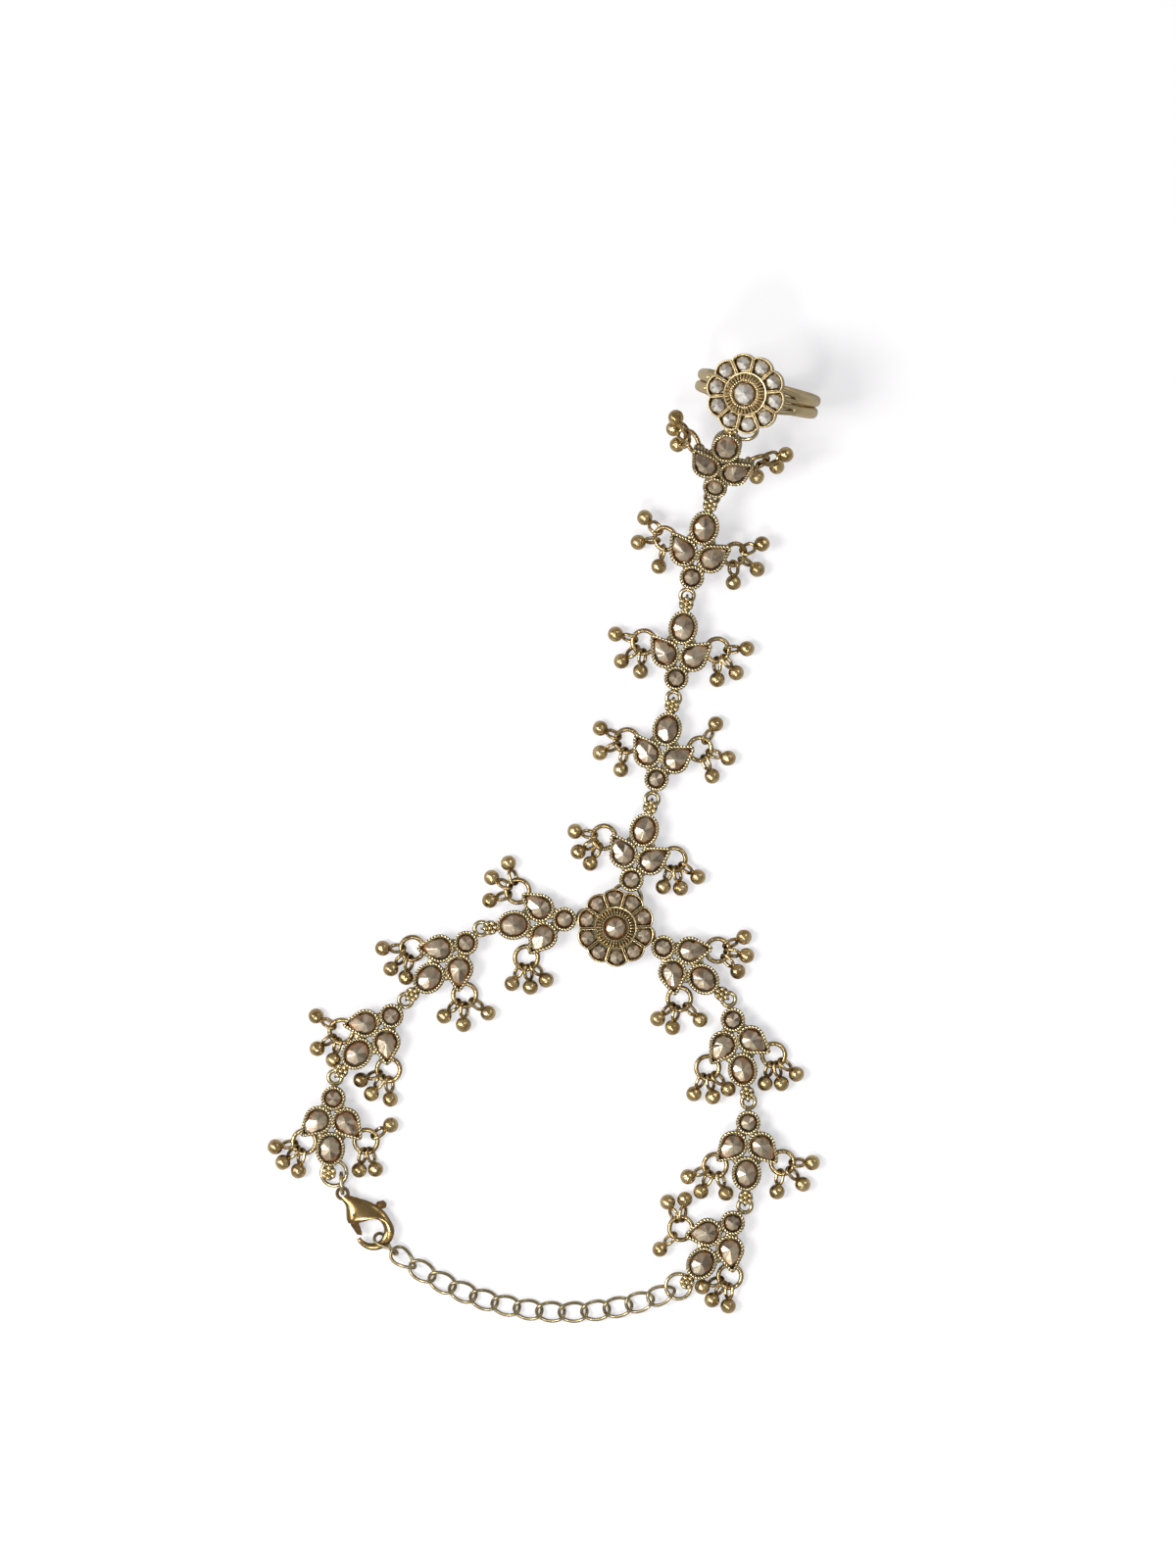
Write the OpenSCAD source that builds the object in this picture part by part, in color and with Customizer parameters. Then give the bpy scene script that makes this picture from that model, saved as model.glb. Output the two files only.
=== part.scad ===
// Hand chain bracelet. A finger ring and a wrist loop meet at a flower rosette on the back of the hand.
// Everything is in millimetres and lies on the plane z = 0, with the hand rosette's back pad at the origin.
// Links are counted outwards from the hand rosette: finger 1 to 5, left 1 to 4 and right 1 to 4.

/* [Cast link] */
// Distance from the cast ring's centre to the round stone
round_at = 3.27; // [3.2:0.05:3.6]
// Distance from the round stone to the pear stones, along the link
pear_step = 3.95; // [3.85:0.05:4.1]
// Distance of a pear stone from the link's centre line
pear_side = 2.55; // [2.5:0.05:2.75]
// Distance from the round stone to the oval stone
oval_step = 8.1; // [8:0.05:8.5]
// Distance from the oval stone to the cluster of grains
cluster_step = 3.78; // [3.7:0.02:4]
// Radius of the round setting
round_r = 1.9; // [1.8:0.02:1.95]
// Half the width of the oval setting
oval_half_w = 2.3; // [2.2:0.02:2.4]
// Half the length of the oval setting
oval_half_l = 2.7; // [2.6:0.02:2.75]
// Radius of the pear setting's round end
pear_r = 2.1; // [2:0.02:2.2]
// Distance from the pear stone's centre to its setting's tip
pear_tip = 3.17; // [3:0.02:3.3]
// Radius of the pear setting's tip
pear_tip_r = 0.45; // [0.4:0.01:0.55]
// Height of a setting from the casting's back to its rim
setting_h = 1.7; // [1.6:0.05:2]
// Thickness of the floor under a stone
floor_h = 0.45; // [0.4:0.01:0.55]
// Width of the metal rim round a stone
rim_w = 0.6; // [0.5:0.02:0.65]
// Height of the rope rim
rope_h = 0.5; // [0.4:0.02:0.6]
// Depth of a notch in the rope rim
rope_depth = 0.14; // [0.08:0.01:0.18]
// Radius of the bridges between the settings
bridge_r = 0.85; // [0.75:0.01:0.9]

/* [Rings and loops] */
// Radius of a link's cast ring, to the middle of its wire
cast_ring_r = 1.05; // [1:0.01:1.15]
// Wire of the cast ring
cast_ring_wire = 0.6; // [0.5:0.01:0.65]
// Radius of the loop under the grains, to the middle of its wire
loop_r = 0.95; // [0.92:0.01:1]
// Wire of the loop under the grains
loop_wire = 0.45; // [0.4:0.01:0.5]
// Radius of a staple under the casting, to the middle of its wire
staple_r = 0.625; // [0.6:0.005:0.68]
// Wire of a staple
staple_wire = 0.4; // [0.35:0.01:0.45]
// Radius of the ring between the hand rosette and the finger chain
hand_ring_r = 2.43; // [2.35:0.01:2.6]
// Radius of the rings at the far ends of the three arms
end_ring_r = 2; // [1.9:0.02:2.1]
// Wire of both kinds of joining ring
end_ring_wire = 0.6; // [0.5:0.01:0.62]
// Radius of one grain in the cluster
grain_r = 0.4; // [0.36:0.01:0.44]

/* [Ball drops] */
// Radius of a drop ring, to the middle of its wire
drop_ring_r = 1.83; // [1.8:0.01:1.95]
// Wire of a drop ring
drop_ring_wire = 0.65; // [0.5:0.01:0.66]
// Radius of a ball
ball_r = 1.2; // [1.1:0.01:1.22]
// Distance of a ball from the centre of its ring
ball_at = 4.7; // [4.6:0.02:5]
// Wire of a drop's eye
eye_wire = 0.45; // [0.4:0.01:0.46]
// Radius of the round ends of an eye, to the middle of the wire
eye_r = 0.725; // [0.7:0.005:0.75]
// Lean of an eye about its own length, in degrees
eye_lean = 12; // [0:1:20]
// Distance of the staple in from the pear setting's tip
staple_in = 1; // [0.9:0.05:1.2]

/* [Stones] */
// Gap between a stone and its setting
stone_gap = 0.12; // [0.12:0.01:0.15]
// Height of a link's stone below its edge
stone_base_h = 0.85; // [0.7:0.05:0.9]
// Height of a link's stone above its edge
stone_crown_h = 0.5; // [0.4:0.05:0.7]
// Width of a stone's table as a share of the stone
stone_table = 0.5; // [0.4:0.05:0.6]

/* [Rosettes] */
// Number of petals
petal_count = 10; // [8:1:11]
// Distance of a petal's round from the rosette's centre
petal_at = 4; // [3.9:0.05:4.1]
// Radius of a petal's round
petal_r = 2.2; // [2.1:0.02:2.22]
// Thickness of a petal's outer wall and of the walls between petals
petal_wall = 0.3; // [0.25:0.01:0.35]
// Height of the petal walls above the rosette's back
petal_h = 1.9; // [1.8:0.05:2.2]
// Thickness of the rosette's back plate
plate_h = 0.5; // [0.45:0.05:0.6]
// Radius of the stone in a petal
petal_stone_r = 1.02; // [0.95:0.01:1.05]
// Outer radius of the central boss
boss_r = 3.4; // [3.3:0.05:3.5]
// Height of the boss above the rosette's back
boss_h = 2.8; // [2.6:0.05:3]
// Radius of the beaded circle on the boss
bead_circle_r = 2.06; // [2.02:0.01:2.1]
// Number of beads on the boss
bead_count = 34; // [28:1:35]
// Number of ridges on the boss's slope
ridge_count = 40; // [32:1:44]
// Radius of the centre stone
centre_stone_r = 1.6; // [1.5:0.02:1.64]
// Height of the hand rosette's back above the table
rosette_lift = 1.6; // [1.6:0.02:1.7]
// Radius of the pad under the hand rosette
pad_r = 1.7; // [1.5:0.05:1.8]

/* [Finger ring] */
// Radius of the finger hole
finger_r = 8.6; // [8.2:0.1:8.8]
// Width of one band of the hoop
band_w = 1.85; // [1.7:0.05:1.95]
// Thickness of the hoop
band_h = 1.3; // [1.2:0.05:1.4]
// Height of the ring rosette's back above the finger hole's axis
ring_rosette_at = 10.2; // [10.1:0.05:10.4]
// Roll of the ring about the finger hole's axis, in degrees
ring_roll = 10; // [8:1:12]
// Lean of the ring towards the chain, in degrees
ring_lean = 8; // [7:1:9]

/* [Clasp and extender] */
// Thickness of the clasp's body
clasp_h = 2.2; // [2:0.05:2.4]
// Thickness of the clasp's hook
hook_h = 1.2; // [1.1:0.05:1.25]
// Thickness of the lever
lever_h = 0.8; // [0.7:0.02:0.9]
// Clearance of the lever in its slot, on each side
lever_gap = 0.1; // [0.1:0.01:0.15]
// Radius of the pivot pin
pin_r = 0.4; // [0.35:0.01:0.45]
// Running clearance round the pivot pin
pin_gap = 0.05; // [0.03:0.01:0.08]
// Radius of the upright ring in the clasp's eye, to the middle of its wire
eye_ring_r = 1.625; // [1.6:0.005:1.7]
// Wire of the upright ring
eye_ring_wire = 0.55; // [0.5:0.01:0.56]
// Pitch of the extender chain
chain_pitch = 3.6; // [3.55:0.01:3.65]
// Length of a chain link, outside
chain_link_l = 5; // [4.9:0.02:5.05]
// Width of a chain link, outside
chain_link_w = 3.45; // [3.4:0.01:3.6]
// Wire of a chain link
chain_wire = 0.53; // [0.5:0.01:0.54]
// Twist of a chain link: how far its sides rise and fall
chain_twist = 0.55; // [0.52:0.01:0.6]

/* [Hidden] */
$fn = 48;

gold = "#a08a52";
pale_gold = "#b7a678";
champagne = "#b9a48c";

// The chain's route, chosen by hand. Each row is one link, from the hand rosette outwards:
// its heading on the table, its rise above the table, and how far its loop is pulled tight.
HEADING = 0;
RISE = 1;
PULL = 2;
finger_route = [
    [75.5, 0, 0.15],
    [78, 0, 0.15],
    [82.5, 4, 0.15],
    [76, 12, 0.15],
    [74.5, 42, 0.15]
];
left_route = [[186.5, 0, 0], [223.5, 0, 0], [227.5, 0, 0], [266.5, 0, 0]];
right_route = [[-38.5, 0, 0], [-79, 0, 0], [-92, 0, 0], [-127.5, 0, 0]];

// How the ball drops lie, a row for each link with its left and its right group. FALL is the way the
// group's ring lies from its staple and FAN the way each drop lies from that, in degrees; HANG is
// how steeply the group hangs below the link's plane.
FALL = 0;
FAN = 1;
HANG = 2;
finger_drop_lay = [
    [[92, [1, 42, 75], 0], [-112, [-75, -41, 0], 0]],
    [[105, [-28, 21, 75], 0], [-69, [-75, -27, 49], 0]],
    [[106, [-24, 32, 75], 4], [-98, [-75, -35, 18], 4]],
    [[120, [-60, -5, 60], 22], [-112, [-55, 0, 55], 22]],
    [[105, [-34, 0, 34], 45], [-121, [-45, 0, 45], 40]]
];
left_drop_lay = [
    [[48, [6, 43, 77], 0], [-40, [-38, 6, 52], 0]],
    [[76, [-74, -32, 23], 0], [-40, [-4, 40, 74], 0]],
    [[48, [-75, -41, -2], 0], [-4, [-75, -8, 31], 0]],
    [[52, [-62, -30, 75], 0], [-6, [-71, -37, -2], 0]]
];
right_drop_lay = [
    [[30, [-38, -2, 35], 0], [-24, [-75, -41, 17], 0]],
    [[43, [-71, -39, -4], 0], [-44, [5, 43, 77], 0]],
    [[65, [-74, -20, 27], 0], [-28, [-38, 1, 51], 0]],
    [[28, [-60, -28, 6], 0], [-80, [-70, -36, 72], 0]]
];

// Azimuths at which the three arms leave the hand rosette
finger_start_az = 69;
left_start_az = 161;
right_start_az = -12.5;
// Azimuth of the first petal of the hand rosette
petal_turn = 19.8;
// Place and azimuth of the finger hole on the table
ring_place = [22.3, 84.2];
ring_az = 76.5;
// Where the staples for the end rings sit along the last links, and how the rings turn on them
finger_end_at = 14;
finger_end_turn = -75;
left_end_at = 13.4;
left_end_turn = 22;
right_end_at = 14.7;
right_end_turn = -17;
// Angle at which the extender chain pulls on its ring
chain_pull_az = 208;
// Place of the clasp's eye on the table
clasp_place = [-43.4, -42.3];

// Heights within a link, from the plane of its cast ring
back_z = 0.25;
ring_plane_z = -0.25;
cluster_z = 1;
cluster_h = 0.4;
cluster_r = 1.15;
band_z = loop_r + loop_wire / 2 + 0.025;

// Places along a link
oval_at = round_at + oval_step;
pear_at = round_at + pear_step;
cluster_at = oval_at + cluster_step;
loop_at = cluster_at + 0.4;
staple_along = pear_at + (pear_tip - staple_in) * cos(45);
staple_aside = pear_side + (pear_tip - staple_in) * sin(45);
rim_z = back_z + setting_h;
floor_z = back_z + floor_h;
in_floor_z = floor_z - 0.1;
in_tongue_z = cluster_z + 0.1;

// A direction from its azimuth and its rise
function direction(az, rise) = [cos(rise) * cos(az), cos(rise) * sin(az), sin(rise)];
function flat_dir(az) = [cos(az), sin(az), 0];

// Centre of link i's cast ring: each loop holds the near side of the next cast ring
function link_place(route, start, i) =
    i == 0 ? start :
    link_place(route, start, i - 1)
    + (loop_at - route[i - 1][PULL]) * direction(route[i - 1][HEADING], route[i - 1][RISE])
    + cast_ring_r * direction(route[i - 1][HEADING], route[i][RISE]);

back_loop_at = 4.1;
finger_start = 4.76 * flat_dir(finger_start_az) + [0, 0, band_z];
left_start = (back_loop_at + cast_ring_r) * flat_dir(left_start_az) + [0, 0, band_z];
right_start = (back_loop_at + cast_ring_r) * flat_dir(right_start_az) + [0, 0, band_z];

// A point given along, beside and above a link, in the part's frame
function on_link(route, start, i, p) =
    let (az = route[i][HEADING], rise = route[i][RISE])
    link_place(route, start, i)
    + p[0] * direction(az, rise)
    + p[1] * [-sin(az), cos(az), 0]
    + p[2] * [-sin(rise) * cos(az), -sin(rise) * sin(az), cos(rise)];

// Centre of an end ring in its link's frame
function end_ring_local(at, turn) = [at + end_ring_r * cos(turn), end_ring_r * sin(turn), ring_plane_z];

module on_link_frame(route, start, i) {
    translate(link_place(route, start, i))
        rotate([0, -route[i][RISE], route[i][HEADING]])
            children();
}

// Outlines as lists of points
function oval_outline(half_l, half_w, n) =
    [for (k = [0:n - 1]) [half_l * cos(360 * k / n), half_w * sin(360 * k / n)]];

// A pear: a round end of radius r whose back is at -r - shift, drawn out to a small round tip
function pear_outline(r, tip, tip_r, n_round, n_tip) =
    let (
        tip_x = tip - tip_r,
        side_angle = acos((r - tip_r) / tip_x)
    )
    concat(
        [for (k = [0:n_tip]) let (a = -side_angle + 2 * side_angle * k / n_tip)
            [tip_x + tip_r * cos(a), tip_r * sin(a)]],
        [for (k = [0:n_round]) let (a = side_angle + (360 - 2 * side_angle) * k / n_round)
            [r * cos(a), r * sin(a)]]
    );

// The same outline with every second point drawn in, as the edge of a rope rim
function notched(points, depth) =
    [for (k = [0:len(points) - 1]) k % 2 == 0 ? points[k] : points[k] * (1 - depth / norm(points[k]))];

// A round wire ring about the Z axis
module wire_ring(r, wire) {
    rotate_extrude()
        translate([r, 0])
            circle(d = wire, $fn = 24);
}

// A half ring of wire under the casting with two legs, in the XZ plane
module staple(leg_h, r = staple_r, wire = staple_wire) {
    rotate([90, 0, 0])
        rotate_extrude(angle = 180, start = 180)
            translate([r, 0])
                circle(d = wire, $fn = 24);
    for (side = [-1, 1])
        translate([side * r, 0, 0])
            cylinder(d = wire, h = leg_h, $fn = 24);
}

// A cut stone on a given outline: a narrower base, the edge, and a table
module cut_stone(points, base_h, crown_h) {
    n = len(points);
    base = [for (p = points) [p[0] * 0.7, p[1] * 0.7, 0]];
    edge = [for (p = points) [p[0], p[1], base_h]];
    table = [for (p = points) [p[0] * stone_table, p[1] * stone_table, base_h + crown_h]];
    polyhedron(
        points = concat(base, edge, table),
        faces = concat(
            [[for (k = [0:n - 1]) k]],
            [for (row = [0, 1], k = [0:n - 1])
                let (next = (k + 1) % n)
                [row * n + next, row * n + k, row * n + n + k, row * n + n + next]],
            [[for (k = [n - 1:-1:0]) 2 * n + k]]
        )
    );
}

round_stone_outline = oval_outline(round_r - rim_w - stone_gap, round_r - rim_w - stone_gap, 12);
oval_stone_outline = oval_outline(oval_half_l - rim_w - stone_gap, oval_half_w - rim_w - stone_gap, 14);
pear_stone_outline = pear_outline(
    pear_r - rim_w - stone_gap,
    pear_tip - 1.35 * (rim_w + stone_gap),
    pear_tip_r * 0.6,
    9, 2
);

// Places and turns of the four settings of a link
module at_round() translate([round_at, 0, 0]) children();
module at_oval() translate([oval_at, 0, 0]) children();
module at_pear(side) translate([pear_at, side * pear_side, 0]) rotate([0, 0, side * 45]) children();

module link_stones_local() {
    lift = floor_z + stone_gap;
    at_round() translate([0, 0, lift]) cut_stone(round_stone_outline, stone_base_h, stone_crown_h);
    at_oval() translate([0, 0, lift]) cut_stone(oval_stone_outline, stone_base_h, stone_crown_h);
    for (side = [-1, 1])
        at_pear(side) translate([0, 0, lift]) cut_stone(pear_stone_outline, stone_base_h, stone_crown_h);
}

// A setting before its pocket is cut: a plain wall, a little inside the notched rope rim on top
wall_inset = 0.06;

module setting_wall() {
    translate([0, 0, back_z])
        linear_extrude(setting_h - rope_h + 0.02)
            children();
}

module rope_rim(points) {
    translate([0, 0, rim_z - rope_h])
        linear_extrude(rope_h)
            polygon(notched(points, rope_depth));
}

module pocket() {
    translate([0, 0, floor_z])
        linear_extrude(setting_h)
            children();
}

// The casting's four settings, joined by bridges that leave two small gaps on the centre line
module settings_block() {
    bridge_h = floor_h + 0.35;
    difference() {
        union() {
            at_round() {
                setting_wall() circle(r = round_r - wall_inset);
                rope_rim(oval_outline(round_r, round_r, 32));
            }
            at_oval() {
                setting_wall() polygon(oval_outline(oval_half_l - wall_inset, oval_half_w - wall_inset, 28));
                rope_rim(oval_outline(oval_half_l, oval_half_w, 40));
            }
            for (side = [-1, 1]) {
                at_pear(side) {
                    setting_wall()
                        polygon(pear_outline(pear_r - wall_inset, pear_tip - wall_inset, pear_tip_r, 20, 3));
                    rope_rim(pear_outline(pear_r, pear_tip, pear_tip_r, 31, 3));
                }
                translate([round_at + pear_step * 0.46, side * pear_side * 0.46, back_z])
                    cylinder(r = bridge_r, h = bridge_h);
                translate([pear_at + 1.85, side * 1.4, back_z])
                    cylinder(r = bridge_r, h = bridge_h);
            }
        }
        at_round() pocket() circle(r = round_r - rim_w);
        at_oval() pocket() polygon(oval_outline(oval_half_l - rim_w, oval_half_w - rim_w, 24));
        for (side = [-1, 1])
            at_pear(side)
                pocket()
                    polygon(pear_outline(pear_r - rim_w, pear_tip - 1.25 * rim_w, pear_tip_r * 0.7, 17, 2));
    }
}

// Seven grains on a small plate at the end of the link, with a tongue back to the oval setting
module grain_cluster() {
    translate([cluster_at, 0, cluster_z])
        cylinder(r = cluster_r, h = cluster_h);
    translate([cluster_at, 0, cluster_z + cluster_h])
        for (k = [0:6])
            rotate([0, 0, 60 * k])
                translate([k < 6 ? 2 * grain_r : 0, 0, 0])
                    sphere(r = grain_r, $fn = 64);
    translate([oval_at + oval_half_l - 0.6, -0.8, cluster_z - 0.4])
        cube([cluster_at - oval_at - oval_half_l + 0.3, 1.6, 0.7]);
}

// The cast ring, with a low neck that thickens where it meets the round setting
module cast_ring() {
    neck_w = 1.1;
    setting_edge = round_at - round_r;
    wire_ring(cast_ring_r, cast_ring_wire);
    translate([cast_ring_r, -neck_w / 2, -cast_ring_wire / 2])
        cube([setting_edge - cast_ring_r + 0.6, neck_w, cast_ring_wire]);
    translate([setting_edge + 0.1, -neck_w / 2, -cast_ring_wire / 2])
        cube([0.5, neck_w, cast_ring_wire + 0.3]);
}

module link_loop() {
    translate([loop_at, 0, 0])
        rotate([90, 0, 0])
            wire_ring(loop_r, loop_wire);
}

// The common casting, with the staples that carry the ball drops
module link_body(drop_lay) {
    settings_block();
    grain_cluster();
    for (side = [0, 1])
        translate([staple_along, (1 - 2 * side) * staple_aside, ring_plane_z])
            rotate([0, 0, drop_lay[side][FALL]])
                staple(back_z - ring_plane_z + 0.2);
}

// The staple that ends an arm, its legs going up to a height inside the casting
module end_staple(at, turn, leg_top) {
    translate([at, 0, ring_plane_z])
        rotate([0, 0, turn])
            staple(leg_top - ring_plane_z);
}

module finger_link(i) {
    color(gold)
        on_link_frame(finger_route, finger_start, i) {
            link_body(finger_drop_lay[i]);
            if (i == 0)
                translate([hand_ring_r, 0, ring_plane_z])
                    staple(back_z - ring_plane_z + 0.2);
            else
                cast_ring();
            if (i == 4)
                end_staple(finger_end_at, finger_end_turn, in_tongue_z);
            else
                link_loop();
        }
}

module left_link(i) {
    color(gold)
        on_link_frame(left_route, left_start, i) {
            link_body(left_drop_lay[i]);
            cast_ring();
            if (i == 3)
                end_staple(left_end_at, left_end_turn, in_floor_z);
            else
                link_loop();
        }
}

module right_link(i) {
    color(gold)
        on_link_frame(right_route, right_start, i) {
            link_body(right_drop_lay[i]);
            cast_ring();
            if (i == 3)
                end_staple(right_end_at, right_end_turn, in_tongue_z);
            else
                link_loop();
        }
}

module link_stones(route, start, i) {
    color(champagne)
        on_link_frame(route, start, i)
            link_stones_local();
}

// One drop: an oval eye of wire round the drop ring, and a ball
module ball_drop() {
    half_straight = 0.35;
    inner_end = 1.18;
    eye_at = inner_end + eye_r + half_straight;
    translate([eye_at, 0, 0])
        rotate([eye_lean, 0, 0])
            rotate([90, 0, 0]) {
                for (side = [0, 1])
                    translate([(1 - 2 * side) * half_straight, 0, 0])
                        rotate_extrude(angle = 180, start = -90 + 180 * side)
                            translate([eye_r, 0])
                                circle(d = eye_wire, $fn = 24);
                for (side = [-1, 1])
                    translate([-half_straight, side * eye_r, 0])
                        rotate([0, 90, 0])
                            cylinder(d = eye_wire, h = 2 * half_straight, $fn = 24);
            }
    neck_at = eye_at + half_straight + eye_r;
    translate([neck_at, 0, 0])
        rotate([0, 90, 0])
            cylinder(r = 0.3, h = ball_at - neck_at, $fn = 24);
    translate([ball_at, 0, ball_r - band_z - ring_plane_z])
        sphere(r = ball_r, $fn = 64);
}

module drop_group(lay) {
    rotate([0, 0, lay[FALL]])
        rotate([0, lay[HANG], 0])
            translate([drop_ring_r, 0, 0]) {
                wire_ring(drop_ring_r, drop_ring_wire);
                for (fan = lay[FAN])
                    rotate([0, 0, fan])
                        ball_drop();
            }
}

module link_drops(route, start, i, lay) {
    color(pale_gold)
        on_link_frame(route, start, i)
            for (side = [0, 1])
                translate([staple_along, (1 - 2 * side) * staple_aside, ring_plane_z])
                    drop_group(lay[side]);
}

// The flower rosette, with its back at z = 0: back plate, petal walls, boss, ridges and beads
module petals_2d(r, depth) {
    for (k = [0:petal_count - 1])
        rotate([0, 0, 360 * k / petal_count])
            translate([petal_at, 0])
                circle(r = r - depth);
    circle(r = petal_at);
}

module boss() {
    seat_r = centre_stone_r + stone_gap;
    seat_floor = boss_h - 0.9;
    slope_r = bead_circle_r + 0.28;
    rotate_extrude()
        polygon([
            [0, 0],
            [boss_r, 0],
            [boss_r, petal_h - 0.1],
            [boss_r - 0.2, petal_h],
            [slope_r, boss_h - 0.1],
            [seat_r, boss_h - 0.1],
            [seat_r, seat_floor],
            [0, seat_floor]
        ]);
    run = boss_r - 0.2 - slope_r;
    fall = boss_h - 0.1 - petal_h;
    for (k = [0:ridge_count - 1])
        rotate([0, 0, 360 * k / ridge_count])
            translate([slope_r, 0, boss_h - 0.13])
                rotate([0, 90 + atan(fall / run), 0])
                    cylinder(r = 0.12, h = norm([run, fall]), $fn = 16);
    for (k = [0:bead_count - 1])
        rotate([0, 0, 360 * k / bead_count])
            translate([bead_circle_r, 0, boss_h - 0.05])
                sphere(r = 0.17, $fn = 32);
}

module rosette() {
    linear_extrude(plate_h)
        petals_2d(petal_r, 0);
    linear_extrude(petal_h)
        difference() {
            petals_2d(petal_r, 0);
            difference() {
                petals_2d(petal_r, petal_wall);
                circle(r = boss_r - 0.1);
            }
        }
    for (k = [0:petal_count - 1])
        rotate([0, 0, 360 * (k + 0.5) / petal_count])
            translate([boss_r - 0.2, -petal_wall / 2, plate_h - 0.05])
                cube([petal_at + petal_r * 0.68 - boss_r, petal_wall, petal_h - plate_h - 0.15]);
    boss();
}

petal_stone_at = petal_at + petal_r - petal_wall - petal_stone_r - stone_gap;
petal_stone_h = petal_h - plate_h - stone_gap - 0.1;

module rosette_petal_stones() {
    for (k = [0:petal_count - 1])
        rotate([0, 0, 360 * k / petal_count])
            translate([petal_stone_at, 0, plate_h + stone_gap])
                cut_stone(oval_outline(petal_stone_r, petal_stone_r, 10), petal_stone_h * 0.65, petal_stone_h * 0.6);
}

module rosette_centre_stone() {
    translate([0, 0, boss_h - 0.9 + stone_gap])
        cut_stone(oval_outline(centre_stone_r, centre_stone_r, 14), 0.8, 0.6);
}

module at_hand_rosette() {
    translate([0, 0, rosette_lift])
        rotate([0, 0, petal_turn])
            children();
}

module hand_rosette() {
    color(gold) {
        at_hand_rosette() rosette();
        cylinder(r = pad_r, h = rosette_lift + 0.1);
        for (az = [left_start_az, right_start_az])
            rotate([0, 0, az])
                translate([back_loop_at, 0, band_z])
                    staple(rosette_lift - band_z + 0.25, loop_r, loop_wire);
        rotate([0, 0, finger_start_az])
            translate([norm([finger_start[0], finger_start[1]]) - hand_ring_r, 0, band_z + ring_plane_z])
                staple(rosette_lift - band_z - ring_plane_z + 0.2);
    }
}

module hand_centre_stone() {
    color(champagne) at_hand_rosette() rosette_centre_stone();
}

module hand_petal_stones() {
    color(champagne) at_hand_rosette() rosette_petal_stones();
}

// The finger ring stands on its hoop, rolled about its own axis and leaning towards the chain
hoop_half_w = band_w;
hoop_outer_r = finger_r + band_h;
ring_centre_z = hoop_outer_r * cos(ring_lean) + hoop_half_w * sin(ring_lean);
ring_centre = [ring_place[0], ring_place[1], ring_centre_z];

module at_ring() {
    translate(ring_centre)
        rotate([ring_lean, 0, ring_az - 90])
            rotate([0, -ring_roll, 0])
                children();
}

// Axes of the ring's frame, and a point of the part carried into that frame
function turn_z(p, a) = [p[0] * cos(a) - p[1] * sin(a), p[0] * sin(a) + p[1] * cos(a), p[2]];
function turn_x(p, a) = [p[0], p[1] * cos(a) - p[2] * sin(a), p[1] * sin(a) + p[2] * cos(a)];
function turn_y(p, a) = [p[0] * cos(a) + p[2] * sin(a), p[1], -p[0] * sin(a) + p[2] * cos(a)];
function in_ring_frame(p) =
    turn_y(turn_x(turn_z(p - ring_centre, 90 - ring_az), -ring_lean), ring_roll);

// Where the ring rosette's staple holds its joining ring: ahead of the last finger link's end
finger_end_ring = end_ring_local(finger_end_at, finger_end_turn);
ring_hold_turn = 10;
ring_hold_point = on_link(finger_route, finger_start, 4,
    finger_end_ring + end_ring_r * [cos(ring_hold_turn), sin(ring_hold_turn), 0]);
ring_hold_local = in_ring_frame(ring_hold_point);

// Half the angle, at the top of the hoop, over which the bands fork into four strands
fork_half_angle = 43;

module hoop_section() {
    intersection() {
        union() {
            for (side = [-1, 1])
                translate([finger_r + band_h - band_w / 2 - 0.02, side * (band_w / 2)])
                    circle(d = band_w);
            translate([finger_r, -band_w * 0.96])
                square([band_h * 0.4, 2 * band_w * 0.96]);
        }
        translate([finger_r, -band_w])
            square([band_h, 2 * band_w]);
    }
}

// One strand of the fork, from the band up to the rosette, turned aside about the hoop's radius
module fork_strand(side, across, spread) {
    strand_r = finger_r + 0.95;
    rotate([0, side * (fork_half_angle + 3), 0])
        rotate([0, 0, -side * spread])
            translate([0, across, 0])
                rotate([90, 0, 0])
                    rotate_extrude(angle = 48, start = side > 0 ? 87 : 45)
                        translate([strand_r, 0])
                            circle(d = 0.86, $fn = 24);
}

module finger_ring() {
    color(pale_gold)
        at_ring() {
            rotate([90, 0, 0])
                rotate_extrude(angle = 360 - 2 * fork_half_angle, start = 90 + fork_half_angle, $fn = 96)
                    hoop_section();
            for (side = [-1, 1], across = [-1.35, -0.45, 0.45, 1.35])
                fork_strand(side, across, across * 5.5);
            translate([0, 0, finger_r + 0.55])
                cylinder(r = 4, h = ring_rosette_at - finger_r - 0.5);
            translate([0, 0, ring_rosette_at])
                rosette();
            translate(ring_hold_local)
                rotate([0, 0, 90])
                    staple(ring_rosette_at - ring_hold_local[2] + 0.2);
        }
}

module ring_centre_stone() {
    color(champagne) at_ring() translate([0, 0, ring_rosette_at]) rosette_centre_stone();
}

module ring_petal_stones() {
    color(champagne) at_ring() translate([0, 0, ring_rosette_at]) rosette_petal_stones();
}

// Joining rings
module hand_joint_ring() {
    color(gold)
        on_link_frame(finger_route, finger_start, 0)
            translate([0, 0, ring_plane_z])
                wire_ring(hand_ring_r, end_ring_wire);
}

module end_ring(route, start, i, at, turn) {
    color(gold)
        on_link_frame(route, start, i)
            translate(end_ring_local(at, turn))
                wire_ring(end_ring_r, end_ring_wire);
}

module ring_joint_ring() end_ring(finger_route, finger_start, 4, finger_end_at, finger_end_turn);
module clasp_ring() end_ring(left_route, left_start, 3, left_end_at, left_end_turn);
module chain_ring() end_ring(right_route, right_start, 3, right_end_at, right_end_turn);

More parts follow.
